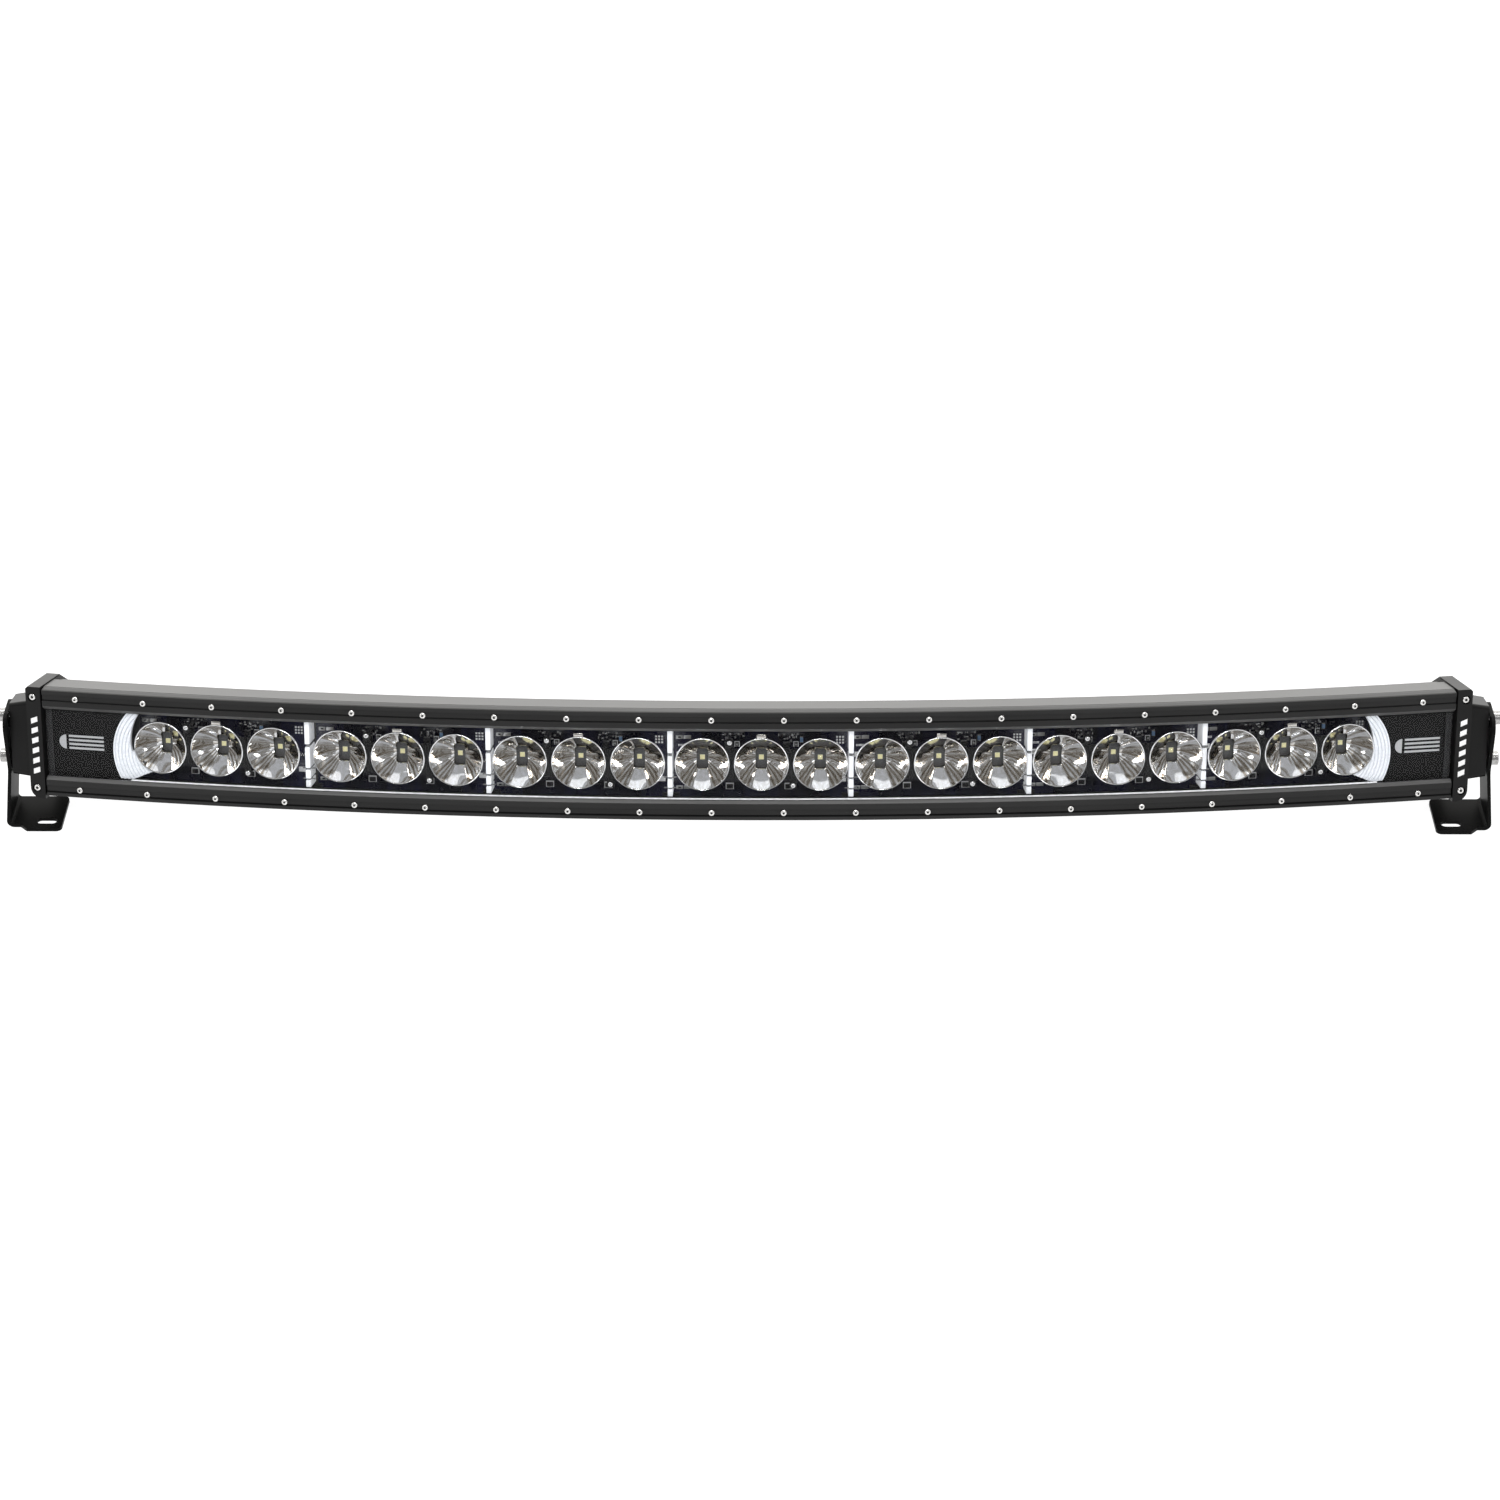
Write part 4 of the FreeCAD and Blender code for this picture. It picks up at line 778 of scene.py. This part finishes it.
RIB_PITCH = 2.5
CRESCENT_PLACES = (-417.0, 421.5)
RING_RADIUS = 42.0             # outer edge, about a point inwards from the place and a little low
RING_SHIFT = 8.3
RING_DROP = 4.7
UPPER_EDGE = 35.5              # inner edge of the upper part
UPPER_SHIFT = 14.7
UPPER_HEIGHT = 2.9
CUP_EDGE = RIM + WALL + 0.25   # inner edge of the lower part, round the end cup
TAIL = ((9.1, -19.8), (19.8, -24.4))
CRESCENT_STEPS, CRESCENT_RINGS = 120, 110
RINGS_PER_RIB = 12
RIB_FRONT, GROOVE_DEPTH, CRESCENT_BACK = 6.3, 1.6, 9.3
SEARCH_STEPS = 400             # fine steps that find where a crescent begins and ends


def leave_circle(direction, centre, radius):
    """How far a ray from the ring's middle runs before it leaves a circle."""
    along = direction.dot(centre)
    inside = radius ** 2 - centre.length_squared + along ** 2
    return along + math.sqrt(inside) if inside > 0 else 0.0


def crescent_span(angle, cup_shift):
    """Inner and outer reach of a crescent along a ray from the ring's middle, and where it is cut off."""
    ring = Vector((-RING_SHIFT, -RING_DROP))
    direction = Vector((math.cos(angle), math.sin(angle)))
    inner = leave_circle(direction, Vector((cup_shift, 0.0)) - ring, CUP_EDGE)
    upper = leave_circle(direction, Vector((-UPPER_SHIFT, UPPER_HEIGHT)) - ring, UPPER_EDGE)
    if (direction * upper + ring).y > -4.0:
        inner = max(inner, upper)
    limit = WINDOW_HALF_HEIGHT + (RING_DROP if direction.y > 0 else -RING_DROP)
    outer = min(RING_RADIUS, limit / max(abs(direction.y), 1e-6))
    start, end = (Vector(point) - ring for point in TAIL)
    along = end - start
    crossing = direction.cross(along)
    if angle < math.atan2(end.y, end.x) and abs(crossing) > 1e-6:
        outer = min(outer, start.cross(along) / crossing)
    return inner, outer


def rib_depth(radius):
    """Depth of the front at a distance from the ring's middle: flat ribs with narrow grooves between them."""
    share = ((RING_RADIUS - radius) / RIB_PITCH) % 1.0
    groove = max(0.0, 1 - abs(2 * share - 1) / 0.34)
    return RIB_FRONT + GROOVE_DEPTH * groove


def crescents():
    """Crescents of concentric ribs round the outer side of the first and last cup."""
    steps, rings = CRESCENT_STEPS, CRESCENT_RINGS
    cups = (MODULE_PLACES[0] + CUP_OFFSETS[0], MODULE_PLACES[-1] + CUP_OFFSETS[-1])
    for side, name, place, cup in zip((-1, 1), ("left", "right"), CRESCENT_PLACES, cups):
        shape = Shape()
        verts, faces = [], []
        angles = [math.radians(-50 + 100 * k / SEARCH_STEPS) for k in range(SEARCH_STEPS + 1)]
        spans = [(angle, *crescent_span(angle, side * (cup - place))) for angle in angles]
        open_angles = [angle for angle, inner, outer in spans if outer - inner > 0.15]
        first, last = min(open_angles), max(open_angles)
        for step in range(steps + 1):
            angle = first + (last - first) * step / steps
            inner, outer = crescent_span(angle, side * (cup - place))
            outer = max(outer, inner + 0.05)
            for ring in range(rings + 1):
                radius = min(max(RING_RADIUS - ring * RIB_PITCH / RINGS_PER_RIB, inner), outer)
                x = side * (radius * math.cos(angle) - RING_SHIFT)
                z = radius * math.sin(angle) - RING_DROP
                verts += [(x, rib_depth(radius), z), (x, CRESCENT_BACK, z)]
        row = 2 * (rings + 1)
        for step in range(steps):
            a, b = step * row, (step + 1) * row
            for ring in range(rings):
                p, q = 2 * ring, 2 * ring + 2
                faces.append([a + p, a + q, b + q, b + p])
                faces.append([a + p + 1, b + p + 1, b + q + 1, a + q + 1])
            faces.append([a, b, b + 1, a + 1])
            faces.append([a + row - 2, a + row - 1, b + row - 1, b + row - 2])
        for start, flip in ((0, False), (steps * row, True)):
            for ring in range(rings):
                quad = [start + 2 * ring + k for k in (0, 1, 3, 2)]
                faces.append(quad[::-1] if flip else quad)
        shape.add(verts, faces, at(place))
        shape.piece(f"ribbed_crescent_{name}", RIBBED_PAINTED_GLOW, slot="white_moulding", sharp=50.0,
                    replaces=(f"end_crescent_{name}",), weld=True)


# ---------------------------------------------------------------- lens edge with a painted highlight, screw sockets with painted shadow, panel marks
def swept(section, arc_from, arc_to, steps):
    """Closed solid: a (depth, height) outline carried along the curve."""
    verts, faces = [], []
    n = len(section)
    for step in range(steps + 1):
        matrix = at(arc_from + (arc_to - arc_from) * step / steps)
        verts += [matrix @ Vector((0, depth, height)) for depth, height in section]
    for step in range(steps):
        for k in range(n):
            a, b = step * n + k, step * n + (k + 1) % n
            faces.append([a, b, b + n, a + n])
    faces.append(list(range(n))[::-1])
    faces.append([steps * n + k for k in range(n)])
    return verts, faces


def painted_lens_edge_highlight():
    """Painted highlight: bright white strip along the lower edge of the lens, between the two crescents, that
    shows above the lower rail.
    """
    left_end, right_end = -437.0, 445.0
    shape = Shape()
    section = [(1.95, -24.35), (1.95, -23.7), (2.2, -23.6), (3.0, -23.6), (3.0, -24.35)]
    shape.add(*swept(section, left_end, right_end, 180))
    shape.piece("lens_lower_edge_painted_highlight", LENS_EDGE_HIGHLIGHT, slot="lens_clear")


def hexagon(radius, x, z):
    return [(x + radius * math.cos(math.radians(60 * k)), z + radius * math.sin(math.radians(60 * k)))
            for k in range(6)]


def screw_sockets():
    """Painted shadow: dark plate at the bottom of the key socket in every rail screw and bezel screw."""
    rail_socket, bezel_socket, bezel_screw_x = 0.83, 1.12, 7.0
    shape = Shape()
    first = -SCREW_PITCH * (SCREWS_PER_RAIL - 1) / 2
    for k in range(SCREWS_PER_RAIL):
        for z in (-SCREW_HEIGHT, SCREW_HEIGHT):
            shape.add(*prism(hexagon(rail_socket, 0.0, z), -0.72, 0.0), at(first + SCREW_PITCH * k))
    for side in (-1, 1):
        for z in (-SCREW_HEIGHT, SCREW_HEIGHT):
            outline = hexagon(bezel_socket, side * bezel_screw_x, z)
            shape.add(*prism(outline, 0.05, 0.65), at(side * BEZEL_PLACE))
    shape.piece("screw_sockets", SOCKET, slot="stainless")


def lamp_marks():
    """Plain printed pictogram of a lamp and its beams on each blank panel, and hatching on each bezel."""
    ink_front, ink_back = 7.06, 7.2
    lamp_radius, lamp_x = 5.2, -11.0
    shape, hatching = Shape(), Shape()
    for side in (-1, 1):
        panel, bezel = at(side * PANEL_PLACE), at(side * BEZEL_PLACE)
        lamp = [(lamp_radius * math.cos(math.radians(a)) + lamp_x, lamp_radius * math.sin(math.radians(a)))
                for a in range(90, 271, 15)]
        shape.add(*prism(lamp[::-1], ink_front, ink_back), panel)
        for z in (-4.4, -1.47, 1.47, 4.4):
            beam = [(-9.0, z - 0.75), (17.0, z - 0.75), (17.0, z + 0.75), (-9.0, z + 0.75)]
            shape.add(*prism(beam, ink_front, ink_back), panel)
        for k in range(6):
            x, z = side * 6.2, -23.0 + 7.4 * k
            block = [(x - 2.4, z), (x + 2.4, z + 1.8), (x + 2.4, z + 5.6), (x - 2.4, z + 3.8)]
            hatching.add(*prism(block, -0.58, -0.48), bezel)
    shape.piece("panel_marks", MARK, slot="mask_black")
    hatching.piece("bezel_hatching", BEZEL_MARK, slot="end_casting")


reflector_modules()
webs()
emitters()
emitter_pads()
driver_parts()
divider_bars()
crescents()
painted_lens_edge_highlight()
screw_sockets()
lamp_marks()

# ---------------------------------------------------------------- floor, light and camera
FLOOR = simple("studio_floor", grey(0.20), grey(0.21), 0.8, 4.0, bump=0.0, emission=4.6, specular=0.0)
FRONT_SKY = (0.50, 0.50, 0.50, 1)
BACK_SKY = (2.00, 1.98, 1.92, 1)
FOCAL_LENGTH = 88.85
CAMERA_PLACE = Vector((0.01873, -2.15613, 1.49810))
CAMERA_TARGET = Vector((0.00167, -0.03140, 0.08486))
CAMERA_ROLL = math.radians(-0.137)


def studio():
    """White floor, four light panels aimed at the origin, and a sky that is brighter behind the bar."""
    bpy.ops.mesh.primitive_plane_add(size=40.0, location=(0, 0, -0.0004))
    floor = bpy.context.object
    floor.name = "floor"
    floor.data.materials.append(FLOOR)

    def panel(name, place, width, height, power):
        light = bpy.data.lights.new(name, "AREA")
        light.shape = "RECTANGLE"
        light.size, light.size_y, light.energy = width, height, power
        obj = bpy.data.objects.new(name, light)
        obj.location = place
        obj.rotation_euler = (Vector() - Vector(place)).to_track_quat("-Z", "Y").to_euler()
        bpy.context.scene.collection.objects.link(obj)

    panel("top_softbox", (0, 0.4, 2.2), 2.4, 0.4, 24)
    panel("front_softbox", (0, -2.0, 2.6), 1.6, 0.3, 36)
    panel("left_softbox", (-2.6, -1.4, 1.2), 1.2, 1.4, 9)
    panel("right_softbox", (2.6, -1.4, 1.2), 1.2, 1.4, 9)

    world = bpy.data.worlds.new("studio")
    bpy.context.scene.world = world
    world.use_nodes = True
    nodes, links = world.node_tree.nodes, world.node_tree.links
    coord = nodes.new("ShaderNodeTexCoord")
    split = nodes.new("ShaderNodeSeparateXYZ")
    links.new(coord.outputs["Generated"], split.inputs[0])
    span = nodes.new("ShaderNodeMapRange")
    span.inputs["From Min"].default_value = -1.0
    links.new(split.outputs["Y"], span.inputs["Value"])
    ramp = nodes.new("ShaderNodeValToRGB")
    links.new(span.outputs["Result"], ramp.inputs[0])
    ramp.color_ramp.interpolation = "EASE"
    ramp.color_ramp.elements[0].position = 0.1
    ramp.color_ramp.elements[0].color = FRONT_SKY
    ramp.color_ramp.elements[1].position = 0.95
    ramp.color_ramp.elements[1].color = BACK_SKY
    links.new(ramp.outputs[0], nodes["Background"].inputs["Color"])
    nodes["Background"].inputs["Strength"].default_value = 1.0


def camera():
    """Camera in front of the bar and above it, matched to its rail screws."""
    data = bpy.data.cameras.new("camera")
    data.lens = FOCAL_LENGTH
    data.sensor_width = 36.0
    data.clip_end = 100.0
    obj = bpy.data.objects.new("camera", data)
    aim = (CAMERA_TARGET - CAMERA_PLACE).to_track_quat("-Z", "Y").to_matrix().to_4x4()
    obj.matrix_world = Matrix.Translation(CAMERA_PLACE) @ aim @ Matrix.Rotation(CAMERA_ROLL, 4, "Z")
    bpy.context.scene.collection.objects.link(obj)
    bpy.context.scene.camera = obj


studio()
camera()
bpy.context.scene.view_settings.view_transform = "Standard"
